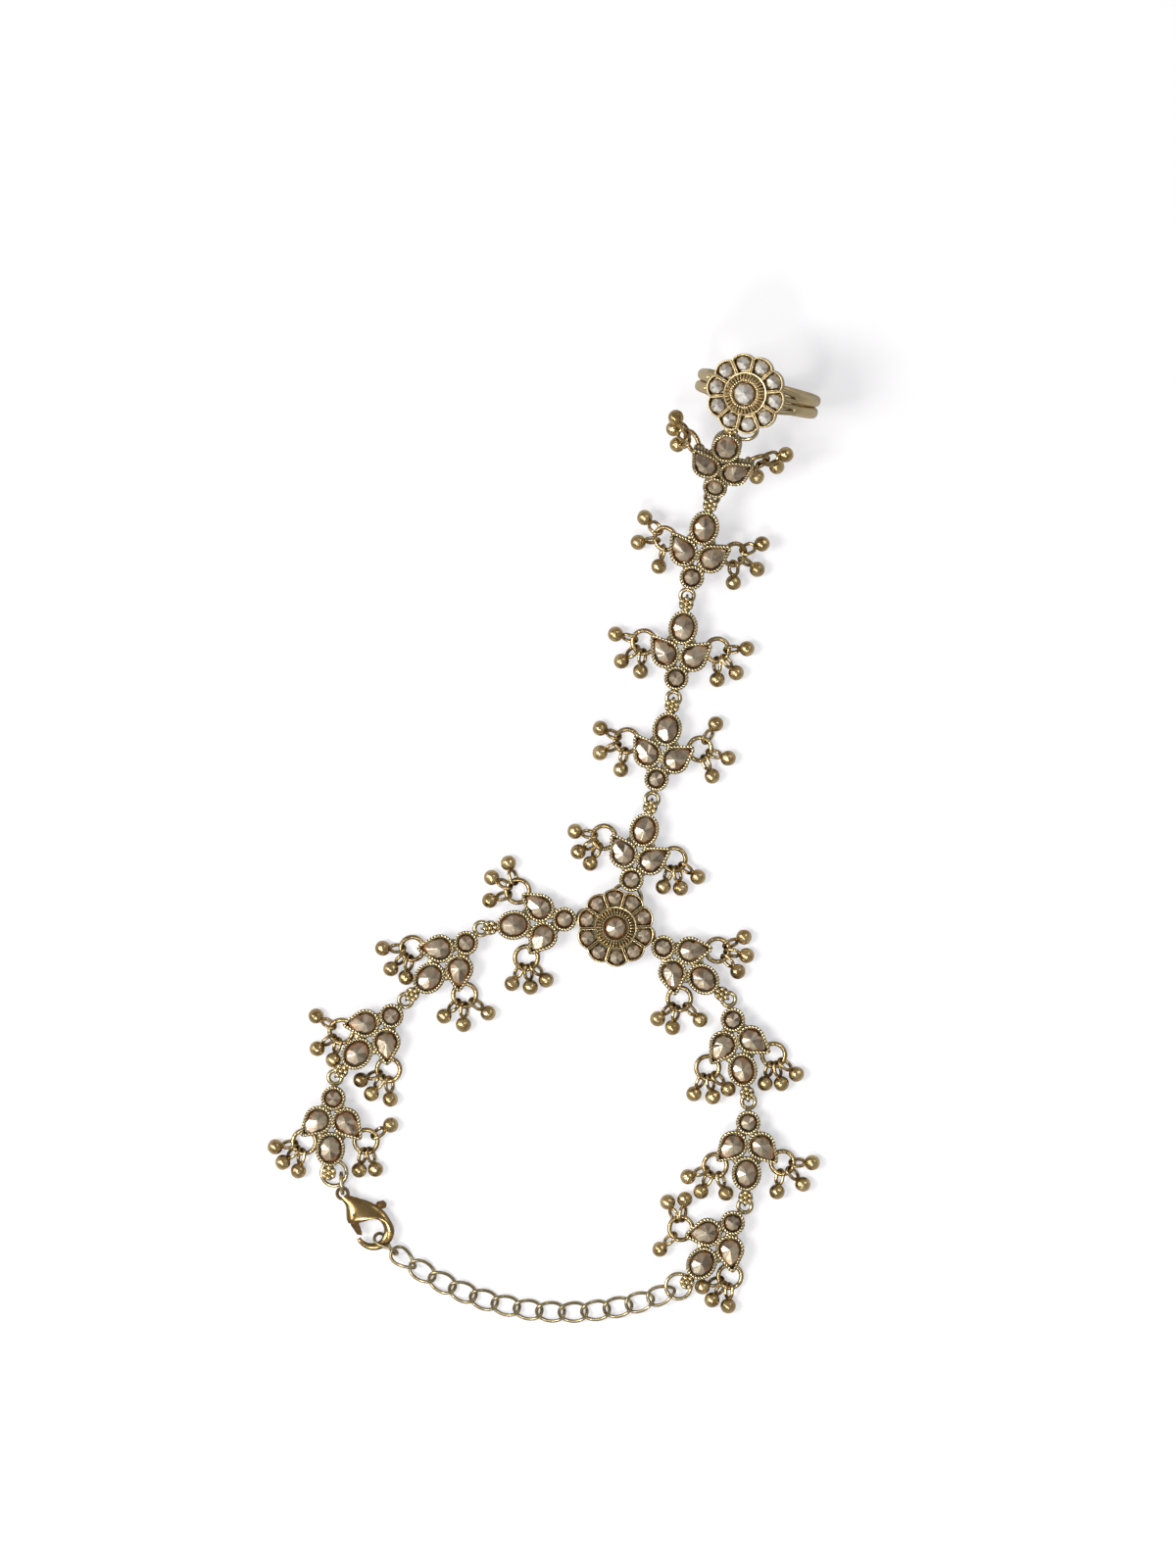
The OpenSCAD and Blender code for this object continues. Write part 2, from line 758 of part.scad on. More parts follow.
// Clasp: sizes in its own flat frame, with the eye at the origin
clasp_z = eye_ring_r + eye_ring_wire / 2 - 0.1;
clasp_eye_r = 1.15;
clasp_eye_hole_r = 0.6;
clasp_eye_h = 1;
hook_centre = [5, -5.8];
hook_r = 3.25;
opening_centre = [4.6, -5.9];
opening_r = 2;
pivot = [2, -3.4];
lever_tip = [2.72, -6.62];
tab_place = [6.45, -1.85];
lever_swing = 25;

module at_clasp() translate([clasp_place[0], clasp_place[1], clasp_z]) children();

module clasp_outline() {
    polygon([
        [-0.4, -0.75], [0.6, -2], [0.55, -3.6], [1, -5.02], [8, -5.02], [7.6, -4],
        [6.9, -3.05], [5.6, -1.9], [3.75, -1], [1.9, -0.55], [0.9, -0.2]
    ]);
}

gate_az = atan2(lever_tip[1] - pivot[1], lever_tip[0] - pivot[0]);
tab_az = atan2(tab_place[1] - pivot[1], tab_place[0] - pivot[0]);
lever_boss_r = 0.95;

// A sector about the pivot, from one azimuth to another
module sector(from_az, to_az) {
    reach = 7;
    mid_az = (from_az + to_az) / 2;
    polygon([
        [0, 0],
        reach * [cos(from_az), sin(from_az)],
        1.3 * reach * [cos(mid_az), sin(mid_az)],
        reach * [cos(to_az), sin(to_az)]
    ]);
}

// The lever's slot: room round the pivot, for the gate and for the thumb tab's arm through its swing.
// The gate's side is open, so that the lever closes flush with the body's left edge.
module lever_slot_2d() {
    translate(pivot) {
        circle(r = lever_boss_r + 1.5 * lever_gap);
        sector(gate_az - 68, gate_az + lever_swing + 18);
        sector(tab_az - 33, tab_az + lever_swing + 33);
    }
}

module clasp_body() {
    slot_h = lever_h + 2 * lever_gap;
    color(gold)
        at_clasp() {
            difference() {
                union() {
                    difference() {
                        linear_extrude(clasp_h, center = true)
                            clasp_outline();
                        linear_extrude(slot_h, center = true)
                            lever_slot_2d();
                    }
                    linear_extrude(hook_h, center = true)
                        difference() {
                            translate(hook_centre) circle(r = hook_r);
                            translate([-2, -5]) square([12, 6]);
                        }
                }
                translate([opening_centre[0], opening_centre[1], -clasp_h])
                    cylinder(r = opening_r, h = 2 * clasp_h);
                linear_extrude(2 * clasp_h, center = true)
                    polygon([[-1, -5], [3.2, -5], [3.2, -6.7], [2.9, -7], [-1, -7]]);
            }
            difference() {
                union() {
                    cylinder(r = clasp_eye_r, h = clasp_eye_h, center = true);
                    translate([0.55, -1.1, 0])
                        cylinder(r = 0.6, h = clasp_eye_h, center = true);
                }
                cylinder(r = clasp_eye_hole_r, h = 2 * clasp_eye_h, center = true);
            }
            translate([pivot[0], pivot[1], 0])
                cylinder(r = pin_r, h = clasp_h - 0.1, center = true);
        }
}

// The lever: a boss round the pin, the gate that closes the hook, and an arm to the thumb tab
module clasp_lever() {
    tab_at = norm(tab_place - pivot);
    color(pale_gold)
        at_clasp()
            translate([pivot[0], pivot[1], 0])
                difference() {
                    union() {
                        cylinder(r = lever_boss_r, h = lever_h, center = true);
                        linear_extrude(lever_h, center = true)
                            polygon([
                                [-0.7, 0], [-0.7, -1.6], lever_tip - pivot + [-0.4, 0.1],
                                lever_tip - pivot + [0.35, 0], lever_tip - pivot + [0.3, 0.6],
                                [0.62, -1.5], [0.7, 0]
                            ]);
                        rotate([0, 0, tab_az])
                            linear_extrude(lever_h, center = true)
                                polygon([
                                    [0, 0.5], [tab_at - 1.1, 0.5], [tab_at - 0.7, 0.85], [tab_at + 0.3, 0.7],
                                    [tab_at + 0.6, 0], [tab_at + 0.3, -0.5], [tab_at - 1.1, -0.5], [0, -0.5]
                                ]);
                    }
                    cylinder(r = pin_r + pin_gap, h = 2 * lever_h, center = true);
                }
}

// The upright ring stands in the clasp's eye and round the left arm's end ring
eye_ring_az = 94;

module clasp_eye_ring() {
    color(gold)
        translate([clasp_place[0], clasp_place[1], eye_ring_r + eye_ring_wire / 2])
            rotate([0, 0, eye_ring_az])
                translate([eye_ring_r, 0, 0])
                    rotate([90, 0, 0])
                        wire_ring(eye_ring_r, eye_ring_wire);
}

// Extender chain. A link is an oval of wire, twisted so that neighbours pass through each other.
chain_count = 14;
chain_half_l = (chain_link_l - chain_wire) / 2;
chain_half_w = (chain_link_w - chain_wire) / 2;
chain_turns = 16;
chain_sides = 6;

function link_curve(t) = [chain_half_l * cos(t), chain_half_w * sin(t), -chain_twist * sin(2 * t)];
function unit(v) = v / norm(v);
function link_tangent(t) =
    unit([-chain_half_l * sin(t), chain_half_w * cos(t), -2 * chain_twist * cos(2 * t)]);

module chain_link() {
    rings = [for (k = [0:chain_turns - 1])
        let (
            t = 360 * k / chain_turns,
            along = link_tangent(t),
            across = unit(cross([0, 0, 1], along)),
            upward = cross(along, across)
        )
        [for (s = [0:chain_sides - 1])
            let (a = 360 * s / chain_sides)
            link_curve(t) + chain_wire / 2 * (cos(a) * across + sin(a) * upward)]];
    polyhedron(
        points = [for (ring = rings, p = ring) p],
        faces = [for (k = [0:chain_turns - 1], s = [0:chain_sides - 1])
            let (
                k2 = (k + 1) % chain_turns,
                s2 = (s + 1) % chain_sides
            )
            [k * chain_sides + s, k * chain_sides + s2, k2 * chain_sides + s2, k2 * chain_sides + s]]
    );
}

// Roll of each link about its length: steep in the clasp's hook, flat along the table, and
// turning again to take the flat ring at the far end
function chain_roll(i) =
    i == 0 ? -80 :
    i == 1 ? -40 :
    i == 2 ? -12 :
    i > chain_count - 4 ? -10 * (i - chain_count + 4) : 0;

// Height of a link's middle: the hook holds the first up, and the others lie on the table
function lowest(roll) = min([for (k = [0:35]) turn_x(link_curve(10 * k), roll)[2]]);
function chain_z(i) = i == 0 ? clasp_z : chain_wire / 2 - lowest(chain_roll(i));

// The chain lies on the arc of a circle, from inside the hook to where the last link's end has
// reached ring_overlap past the wire of its end ring
hook_reach = 1;
ring_overlap = 1.2;
chain_from = clasp_place + opening_centre + (opening_r - hook_reach) * [cos(-45), sin(-45)];
chain_ring_centre = on_link(right_route, right_start, 3, end_ring_local(right_end_at, right_end_turn));
chain_to = [chain_ring_centre[0], chain_ring_centre[1]]
    + end_ring_r * [cos(chain_pull_az), sin(chain_pull_az)];
chain_path_l = 2 * chain_half_l + (chain_count - 1) * chain_pitch - ring_overlap;
chain_chord = norm(chain_to - chain_from);
chain_chord_az = atan2(chain_to[1] - chain_from[1], chain_to[0] - chain_from[0]);

// Half the arc's angle, found by halving: its sine over it is the chord over the length
function half_arc(low, high, steps) =
    let (mid = (low + high) / 2)
    steps == 0 ? mid :
    sin(mid) / (mid * PI / 180) > chain_chord / chain_path_l ?
        half_arc(mid, high, steps - 1) : half_arc(low, mid, steps - 1);

chain_half_arc = half_arc(0.1, 170, 30);
chain_arc_r = chain_path_l / (2 * chain_half_arc * PI / 180);

// The point and the heading at a length along the arc
function arc_az(s) = chain_chord_az - chain_half_arc + s / chain_arc_r * 180 / PI;
function arc_point(s) =
    let (az = arc_az(s), az0 = arc_az(0))
    chain_from + chain_arc_r * [sin(az) - sin(az0), cos(az0) - cos(az)];

module extender_chain() {
    color(gold)
        for (i = [0:chain_count - 1]) {
            s = chain_half_l + i * chain_pitch;
            p = arc_point(s);
            translate([p[0], p[1], chain_z(i)])
                rotate([0, 0, arc_az(s)])
                    rotate([chain_roll(i), 0, 0])
                        chain_link();
        }
}

finger_ring();
ring_centre_stone();
ring_petal_stones();
hand_rosette();
hand_centre_stone();
hand_petal_stones();
for (i = [0:4]) {
    finger_link(i);
    link_stones(finger_route, finger_start, i);
    link_drops(finger_route, finger_start, i, finger_drop_lay[i]);
}
for (i = [0:3]) {
    left_link(i);
    link_stones(left_route, left_start, i);
    link_drops(left_route, left_start, i, left_drop_lay[i]);
    right_link(i);
    link_stones(right_route, right_start, i);
    link_drops(right_route, right_start, i, right_drop_lay[i]);
}
hand_joint_ring();
ring_joint_ring();
clasp_ring();
clasp_eye_ring();
chain_ring();
clasp_body();
clasp_lever();
extender_chain();
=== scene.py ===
import math

import bpy
import numpy as np
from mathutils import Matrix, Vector


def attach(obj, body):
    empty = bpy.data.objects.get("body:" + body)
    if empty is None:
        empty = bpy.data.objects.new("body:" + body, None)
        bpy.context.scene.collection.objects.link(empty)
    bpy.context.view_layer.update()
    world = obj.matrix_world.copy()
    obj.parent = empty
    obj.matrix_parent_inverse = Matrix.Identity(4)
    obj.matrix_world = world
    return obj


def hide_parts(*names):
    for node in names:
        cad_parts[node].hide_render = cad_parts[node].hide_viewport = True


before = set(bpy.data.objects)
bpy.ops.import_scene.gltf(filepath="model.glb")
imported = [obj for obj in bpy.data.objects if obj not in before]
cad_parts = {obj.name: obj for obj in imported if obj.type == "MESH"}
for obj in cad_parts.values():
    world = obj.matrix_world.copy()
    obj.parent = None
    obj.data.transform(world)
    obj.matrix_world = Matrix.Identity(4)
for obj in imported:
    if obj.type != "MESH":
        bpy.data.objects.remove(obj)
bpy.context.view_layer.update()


# The table is a pale sheet under the bracelet. The camera looks straight down from 0.7 m, and soft
# light comes from the left and the foot of the picture. All sizes in this file are in millimetres.
MM = 0.001


class Shade:
    """One output of a material's nodes. Arithmetic on it adds Math nodes to the same material."""

    def __init__(self, finish, socket):
        self.finish = finish
        self.socket = socket

    def math(self, operation, first, second=0.0):
        return self.finish.node("ShaderNodeMath", {"operation": operation}, {0: first, 1: second})

    def __add__(self, other):
        return self.math("ADD", self, other)

    __radd__ = __add__

    def __sub__(self, other):
        return self.math("SUBTRACT", self, other)

    def __rsub__(self, other):
        return self.math("SUBTRACT", other, self)

    def __mul__(self, other):
        return self.math("MULTIPLY", self, other)

    __rmul__ = __mul__

    def within(self, low, high):
        """This value rescaled so that low gives 0 and high gives 1, and held between them."""
        inputs = {"Value": self, "From Min": low, "From Max": high}
        return self.finish.node("ShaderNodeMapRange", {"clamp": True}, inputs)


class Finish:
    """A material and its nodes, ending in one Principled shader."""

    def __init__(self, name, **sockets):
        self.material = bpy.data.materials.new(name)
        self.material.use_nodes = True
        self.nodes = self.material.node_tree.nodes
        self.links = self.material.node_tree.links
        self.shader = self.nodes["Principled BSDF"]
        self.place = self.node("ShaderNodeTexCoord", {}, {}, "Object")
        for socket, value in sockets.items():
            self.set(socket.replace("_", " "), value)

    def node(self, kind, settings, inputs, output=0):
        """A node of any type: its settings are set first, then its sockets get values or links."""
        made = self.nodes.new(kind)
        for name, value in settings.items():
            if name == "stops":
                # They run upwards, and of two at the same value the later shows only from that value on
                ramp = made.color_ramp
                for extra in value[2:]:
                    ramp.elements.new(extra[0])
                for element, (at, colour) in zip(ramp.elements, value):
                    element.position = at
                    element.color = (*colour, 1)
            else:
                setattr(made, name, value)
        for name, value in inputs.items():
            self.fill(made.inputs[name], value)
        return Shade(self, made.outputs[output])

    def fill(self, socket, value):
        if isinstance(value, Shade):
            self.links.new(value.socket, socket)
        elif isinstance(value, tuple) and len(value) == 3 and len(socket.default_value) == 4:
            socket.default_value = (*value, 1)
        else:
            socket.default_value = value

    def set(self, socket, value):
        self.fill(self.shader.inputs[socket], value)

    def noise(self, size, detail=3.0, roughness=0.55):
        """Cloudy noise on the piece, with blotches of about the given size in millimetres."""
        inputs = {"Vector": self.place, "Scale": 1 / (size * MM), "Detail": detail, "Roughness": roughness}
        return self.node("ShaderNodeTexNoise", {}, inputs)

    def mix(self, share, first, second):
        """A colour between two others."""
        settings = {"data_type": "RGBA"}
        return self.node("ShaderNodeMix", settings, {"Factor": share, 6: first, 7: second}, 2)

    def bump(self, height, depth):
        """Small relief, where height from 0 to 1 stands for depth in millimetres."""
        inputs = {"Strength": 1.0, "Distance": depth * MM, "Height": height}
        self.set("Normal", self.node("ShaderNodeBump", {}, inputs))

    def attribute(self, name):
        return self.node("ShaderNodeAttribute", {"attribute_name": name}, {}, "Fac")


table_size = 4400
table_corners = [(-1, -1), (1, -1), (1, 1), (-1, 1)]
table_mesh = bpy.data.meshes.new("table")
table_mesh.from_pydata([(x * table_size / 2 * MM, y * table_size / 2 * MM, 0) for x, y in table_corners],
                       [], [(0, 1, 2, 3)])
table = bpy.data.objects.new("table", table_mesh)
bpy.context.scene.collection.objects.link(table)
sheet = Finish("pale sheet", Roughness=0.75, Emission_Color=(0.97, 0.97, 1.0))
sheet.set("Base Color", sheet.mix(sheet.noise(60).within(0.3, 0.7), (0.5, 0.495, 0.5), (0.53, 0.525, 0.53)))
# Only camera rays see the sheet's glow: it is white in the picture, and the metal mirrors its grey
sheet.set("Emission Strength", 0.5 * sheet.node("ShaderNodeLightPath", {}, {}, "Is Camera Ray"))
table_mesh.materials.append(sheet.material)

view_centre = (-4.375, 22.81)
view_distance = 700
view_height = 250
sensor_width = 36
camera_data = bpy.data.cameras.new("camera")
camera_data.sensor_width = sensor_width
camera_data.lens = sensor_width * view_distance / view_height
camera_data.clip_start = 10 * MM
camera_data.clip_end = 10000 * MM
camera = bpy.data.objects.new("camera", camera_data)
camera.location = (view_centre[0] * MM, view_centre[1] * MM, view_distance * MM)
bpy.context.scene.collection.objects.link(camera)
bpy.context.scene.camera = camera


def area_light(name, place, aim, size, power, colour):
    """A square light at a place, facing a point, both in millimetres."""
    light = bpy.data.lights.new(name, "AREA")
    light.size = size * MM
    light.energy = power
    light.color = colour
    lamp = bpy.data.objects.new(name, light)
    lamp.location = Vector(place) * MM
    lamp.rotation_euler = (Vector(aim) - Vector(place)).to_track_quat("-Z", "Y").to_euler()
    bpy.context.scene.collection.objects.link(lamp)


area_light("window", (-360, -40, 530), (0, 20, 0), 210, 2.5, (1.0, 0.99, 0.97))
area_light("low window", (-520, 90, 280), (0, 20, 0), 260, 0.6, (1.0, 0.99, 0.97))
area_light("lower window", (-90, -290, 560), (0, 20, 0), 120, 1.0, (1.0, 0.98, 0.95))
area_light("fill", (420, 330, 500), (0, 20, 0), 200, 0.5, (0.97, 0.98, 1.0))
world = bpy.data.worlds.new("studio")
world.use_nodes = True
world.node_tree.nodes["Background"].inputs["Color"].default_value = (1.0, 0.99, 0.98, 1)
world.node_tree.nodes["Background"].inputs["Strength"].default_value = 0.35
bpy.context.scene.world = world
bpy.context.scene.view_settings.view_transform = "Standard"


# The thirteen links are gold-plated castings, worn pale on their ridges and dark in their hollows from
# patina and painted shade.
# Each has four settings with a rope rim, a cluster of seven grains and wire staples that carry the
# ball drops. A loop under the grains holds the next link's cast ring, and a staple ends each arm.
round_at = 3.27
pear_step = 3.95
pear_side = 2.55
oval_step = 8.1
cluster_step = 3.78
round_r = 1.9
oval_half_w = 2.3
oval_half_l = 2.7
pear_r = 2.24
pear_tip = 3.17
pear_tip_r = 0.45
setting_h = 1.7
floor_h = 0.45
rim_w = 0.54
pear_pull = 0.48
bridge_r = 1
cast_ring_r = 1.05
cast_ring_wire = 0.68
loop_r = 0.95
loop_wire = 0.45
staple_r = 0.625
staple_wire = 0.4
staple_in = 1
grain_r = 0.4
hand_ring_r = 2.43
end_ring_r = 2
end_ring_wire = 0.6
back_z = 0.25
ring_plane_z = -0.25
cluster_z = 1
cluster_h = 0.4
cluster_r = 1.15
band_z = loop_r + loop_wire / 2 + 0.025
oval_at = round_at + oval_step
pear_at = round_at + pear_step
cluster_at = oval_at + cluster_step
loop_at = cluster_at + 0.4
staple_along = pear_at + (pear_tip - staple_in) * math.cos(math.radians(45))
staple_aside = pear_side + (pear_tip - staple_in) * math.sin(math.radians(45))
rim_z = back_z + setting_h
floor_z = back_z + floor_h


def shift(x, y, z=0.0):
    """A move, as a 4 by 4 matrix."""
    matrix = np.eye(4)
    matrix[:3, 3] = (x, y, z)
    return matrix


def turn(axis, degrees):
    """A right-handed turn about the X, Y or Z axis, as a 4 by 4 matrix."""
    first, second = {"X": (1, 2), "Y": (2, 0), "Z": (0, 1)}[axis]
    cos, sin = math.cos(math.radians(degrees)), math.sin(math.radians(degrees))
    matrix = np.eye(4)
    matrix[first, first] = matrix[second, second] = cos
    matrix[second, first] = sin
    matrix[first, second] = -sin
    return matrix


def unit(vectors):
    """Vectors scaled to length 1."""
    return vectors / np.linalg.norm(vectors, axis=-1, keepdims=True)


def circle_points(radius, count, start=0.0, sweep=360.0):
    """Points round a circle about the origin; a full circle leaves out the repeated last point."""
    closed = sweep >= 360
    angle = np.radians(start + sweep * np.arange(count) / (count if closed else count - 1))
    return radius * np.stack([np.cos(angle), np.sin(angle)], axis=1)


class Casting:
    """Closed shells gathered into one mesh. Each point has a depth shade value, from 0 on a worn ridge to 1
    in a dark hollow, which darkens the hollows with patina and painted shade, and each face has a tone,
    which tells the facets of stones apart."""

    def __init__(self):
        self.points = []
        self.recess = []
        self.faces = {4: [], 3: []}
        self.tones = {4: [], 3: []}
        self.count = 0

    def add(self, rings, matrix, recess=0.4, looped=False, tones=None):
        """A closed surface through rings of points: quads join each ring to the next, and the last ring is
        joined to the first, or both are closed to a point at their middle. The faces are reversed if
        the volume that they enclose comes out negative."""
        rings = np.asarray(rings, float)
        rows, around = rings.shape[:2]
        index = np.arange(rows * around).reshape(rows, around)
        lower = index if looped else index[:-1]
        upper = np.roll(index, -1, axis=0) if looped else index[1:]
        quads = np.stack([lower, np.roll(lower, -1, 1), np.roll(upper, -1, 1), upper], -1).reshape(-1, 4)
        recess = np.broadcast_to(recess, (rows, around)).ravel()
        points = rings.reshape(-1, 3)
        triangles = np.empty((0, 3), int)
        if not looped:
            points = np.vstack([points, rings[0].mean(0), rings[-1].mean(0)])
            recess = np.append(recess, [recess[:around].mean(), recess[-around:].mean()])
            first, last = index[0], index[-1]
            low, high = np.full(around, rows * around), np.full(around, rows * around + 1)
            triangles = np.vstack([
                np.stack([low, np.roll(first, -1), first], -1),
                np.stack([high, last, np.roll(last, -1)], -1),
            ])
        halves = np.vstack([quads[:, [0, 1, 2]], quads[:, [0, 2, 3]], triangles])
        a, b, c = points[halves[:, 0]], points[halves[:, 1]], points[halves[:, 2]]
        if np.einsum("ij,ij->i", a, np.cross(b, c)).sum() < 0:
            quads = quads[:, ::-1]
            triangles = triangles[:, ::-1]
        quad_tones, triangle_tones = tones if tones else (0.5, 0.5)
        self.tones[4].append(np.broadcast_to(quad_tones, len(quads)))
        self.tones[3].append(np.broadcast_to(triangle_tones, len(triangles)))
        self.faces[4].append(quads + self.count)
        self.faces[3].append(triangles + self.count)
        self.points.append(points @ matrix[:3, :3].T + matrix[:3, 3])
        self.recess.append(recess)
        self.count += len(points)

    def piece(self, name, material, crease=35):
        """The gathered shells as one object, smooth except across edges sharper than crease degrees."""
        quads, triangles = np.vstack(self.faces[4]), np.vstack(self.faces[3])
        corners = np.concatenate([quads.ravel(), triangles.ravel()])
        starts = np.concatenate([4 * np.arange(len(quads)), 4 * len(quads) + 3 * np.arange(len(triangles))])
        mesh = bpy.data.meshes.new(name)
        mesh.vertices.add(self.count)
        mesh.vertices.foreach_set("co", (np.vstack(self.points) * MM).ravel())
        mesh.loops.add(len(corners))
        mesh.loops.foreach_set("vertex_index", corners)
        mesh.polygons.add(len(starts))
        mesh.polygons.foreach_set("loop_start", starts)
        mesh.update(calc_edges=True)
        mesh.validate()
        recess = mesh.attributes.new("recess", "FLOAT", "POINT")
        recess.data.foreach_set("value", np.concatenate(self.recess))
        tone = mesh.attributes.new("tone", "FLOAT", "FACE")
        tone.data.foreach_set("value", np.concatenate(self.tones[4] + self.tones[3]))
        mesh.shade_smooth()
        mesh.set_sharp_from_angle(angle=math.radians(crease))
        mesh.materials.append(material)
        made = bpy.data.objects.new(name, mesh)
        bpy.context.scene.collection.objects.link(made)
        return made


def lathe(profile, around):
    """Rings of a turned form about Z, one for each (radius, height) of its profile."""
    profile = np.asarray(profile, float)
    ring = circle_points(1, around)
    flat = profile[:, 0, None, None] * ring
    height = np.broadcast_to(profile[:, 1, None, None], (len(profile), around, 1))
    return np.concatenate([flat, height], axis=2)


def tube(path, radius, sides, up, looped=False):
    """Rings of a round wire along a path. Each lies across the path's direction, turned so that its own
    up is as near as it can be to the given one."""
    path = np.asarray(path, float)
    along = unit(np.roll(path, -1, 0) - np.roll(path, 1, 0) if looped else np.gradient(path, axis=0))
    across = unit(np.cross(np.broadcast_to(up, path.shape), along))
    upward = np.cross(along, across)
    angle = np.radians(360 * np.arange(sides) / sides)[None, :, None]
    reach = np.broadcast_to(np.reshape(radius, (-1, 1, 1)), (len(path), 1, 1))
    return path[:, None] + reach * (np.cos(angle) * across[:, None] + np.sin(angle) * upward[:, None])


def wire_ring(radius, wire, around=48, sides=12):
    """Rings of a round wire bent to a circle about Z."""
    flat = circle_points(radius, around)
    return tube(np.c_[flat, np.zeros(around)], wire / 2, sides, (0, 0, 1), looped=True)


def staple_wires(leg_h, radius=staple_r, wire=staple_wire):
    """Rings of a wire bent to a U in the XZ plane: half a circle below z = 0 and two legs above it."""
    bend = circle_points(radius, 15, 180, 180)
    legs = [(-radius, leg_h), (-radius, leg_h / 2)], [(radius, leg_h / 2), (radius, leg_h)]
    flat = np.vstack([legs[0], bend, legs[1]])
    path = np.c_[flat[:, 0], np.zeros(len(flat)), flat[:, 1]]
    return tube(path, wire / 2, 10, (0, 1, 0))


def soft_round(around, power):
    """Cosine and sine round a section, raised to a power below one, which squares off its round."""
    angle = 2 * math.pi * np.arange(around) / around
    return [np.sign(wave) * np.abs(wave) ** power for wave in (np.cos(angle), np.sin(angle))]


def bar(stations, around=20):
    """Rings of a bar along X with soft corners. A station is (x, half width, middle height, half height),
    and its section is a rounded rectangle: sine and cosine raised to a power below one."""
    x, half_w, middle, half_h = np.asarray(stations, float).T[:, :, None]
    side, rise = soft_round(around, 0.6)
    return np.stack([x + 0 * side, half_w * side, middle + half_h * rise], axis=2)


def even(outline, count):
    """A closed outline walked at equal steps along its length."""
    closed = np.vstack([outline, outline[:1]])
    length = np.append(0, np.cumsum(np.linalg.norm(np.diff(closed, axis=0), axis=1)))
    steps = np.arange(count) / count * length[-1]
    return np.stack([np.interp(steps, length, closed[:, k]) for k in (0, 1)], axis=1)


def oval(half_l, half_w):
    """An ellipse about the origin."""
    return circle_points(1, 160) * (half_l, half_w)


def pear(r, tip, tip_r):
    """A pear from its tip on: a round end and a small round tip, joined along their common tangents."""
    reach = tip - tip_r
    side = math.degrees(math.acos((r - tip_r) / reach))
    tip_up = circle_points(tip_r, 8, 0, side) + (reach, 0)
    end = circle_points(r, 90, side, 360 - 2 * side)
    tip_back = circle_points(tip_r, 8, -side, side) + (reach, 0)
    return np.vstack([tip_up, end, tip_back[:-1]])


# Place, outer outline, inner outline and number of rope dashes of each setting
link_settings = [
    (shift(round_at, 0), oval(round_r, round_r), oval(round_r - rim_w, round_r - rim_w), 22),
    (shift(oval_at, 0), oval(oval_half_l, oval_half_w), oval(oval_half_l - rim_w, oval_half_w - rim_w), 30),
] + [
    (
        shift(pear_at, side * pear_side) @ turn("Z", side * 45) @ shift(-pear_pull, 0),
        pear(pear_r, pear_tip + pear_pull, pear_tip_r),
        pear(pear_r - rim_w, pear_tip + pear_pull - 1.25 * rim_w, pear_tip_r * 0.7),
        28,
    )
    for side in (1, -1)
]

# The wall of a setting from its back to its floor: how far in it lies as a share of the rim's width, its
# height, how strongly it is ridged and how dark it is, from patina and painted shade
IN, HEIGHT, RIDGE, RECESS = range(4)
setting_rows = np.array([
    (0.10, back_z, 0, 0.8),
    (0.02, back_z + 0.08, 0, 0.6),
    (0.02, back_z + 0.30, 1, 0.5),
    (0.02, rim_z - 0.90, 1, 0.5),
    (0.04, rim_z - 0.62, 0, 0.8),
    (0.14, rim_z - 0.46, 0, 1.0),
    (0.42, rim_z - 0.30, 0, 1.0),
    (0.78, rim_z - 0.26, 0, 0.95),
    (0.90, rim_z - 0.28, 0, 0.8),
    (1.00, rim_z - 0.40, 0, 0.9),
    (1.00, floor_z, 0, 1.0),
])
wall_ridge = 0.03
rope_in = 0.4
rope_r = 0.25
rope_swell = 0.055
rope_sides = 10
steps_per_dash = 5


def add_setting(casting, matrix, outer, inner, dashes):
    """One setting and the rope that is soldered on its rim. The rope's section has two lobes, its radius
    being a mean plus a swell times the cosine of twice the angle less the dash's phase, so that the
    lobes wind round it."""
    around = steps_per_dash * dashes
    outer, inner = even(outer, around), even(inner, around)
    phase = 2 * math.pi * dashes * np.arange(around) / around
    wave = np.cos(phase)
    outward = unit(outer - inner)
    share = setting_rows[:, IN, None, None]
    swell = wall_ridge * setting_rows[:, RIDGE, None, None] * wave[None, :, None]
    flat = outer + (inner - outer) * share + outward * swell
    height = np.broadcast_to(setting_rows[:, HEIGHT, None, None], (len(setting_rows), around, 1))
    recess = setting_rows[:, RECESS, None] - 0.35 * setting_rows[:, RIDGE, None] * wave
    casting.add(np.concatenate([flat, height], axis=2), matrix, recess)

    line = outer + (inner - outer) * rope_in
    path = np.c_[line, np.full(around, rim_z - rope_r)]
    twist = 2 * np.radians(360 * np.arange(rope_sides) / rope_sides)[None, :] - phase[:, None]
    radius = rope_r + rope_swell * np.cos(twist)
    middle = path[:, None]
    rings = middle + (tube(path, 1, rope_sides, (0, 0, 1), looped=True) - middle) * radius[:, :, None]
    # The rope is darkened in the grooves between its lobes: patina and painted shade
    casting.add(rings, matrix, np.clip(0.3 - 0.8 * np.cos(twist), 0, 1), looped=True)


def pebble(radius, low, high):
    """A short round peg with a domed top."""
    rise = high - low
    shape = [(0.9, 0), (1, 0.12), (1, 0.6), (0.93, 0.82), (0.7, 0.96), (0.35, 1)]
    return lathe([(radius * r, low + rise * z) for r, z in shape], 24)


def ball(radius, around=20, rows=11):
    """A sphere as a turned half circle."""
    angle = np.radians(np.linspace(-90, 90, rows + 2)[1:-1])
    return lathe(radius * np.c_[np.cos(angle), np.sin(angle)], around)


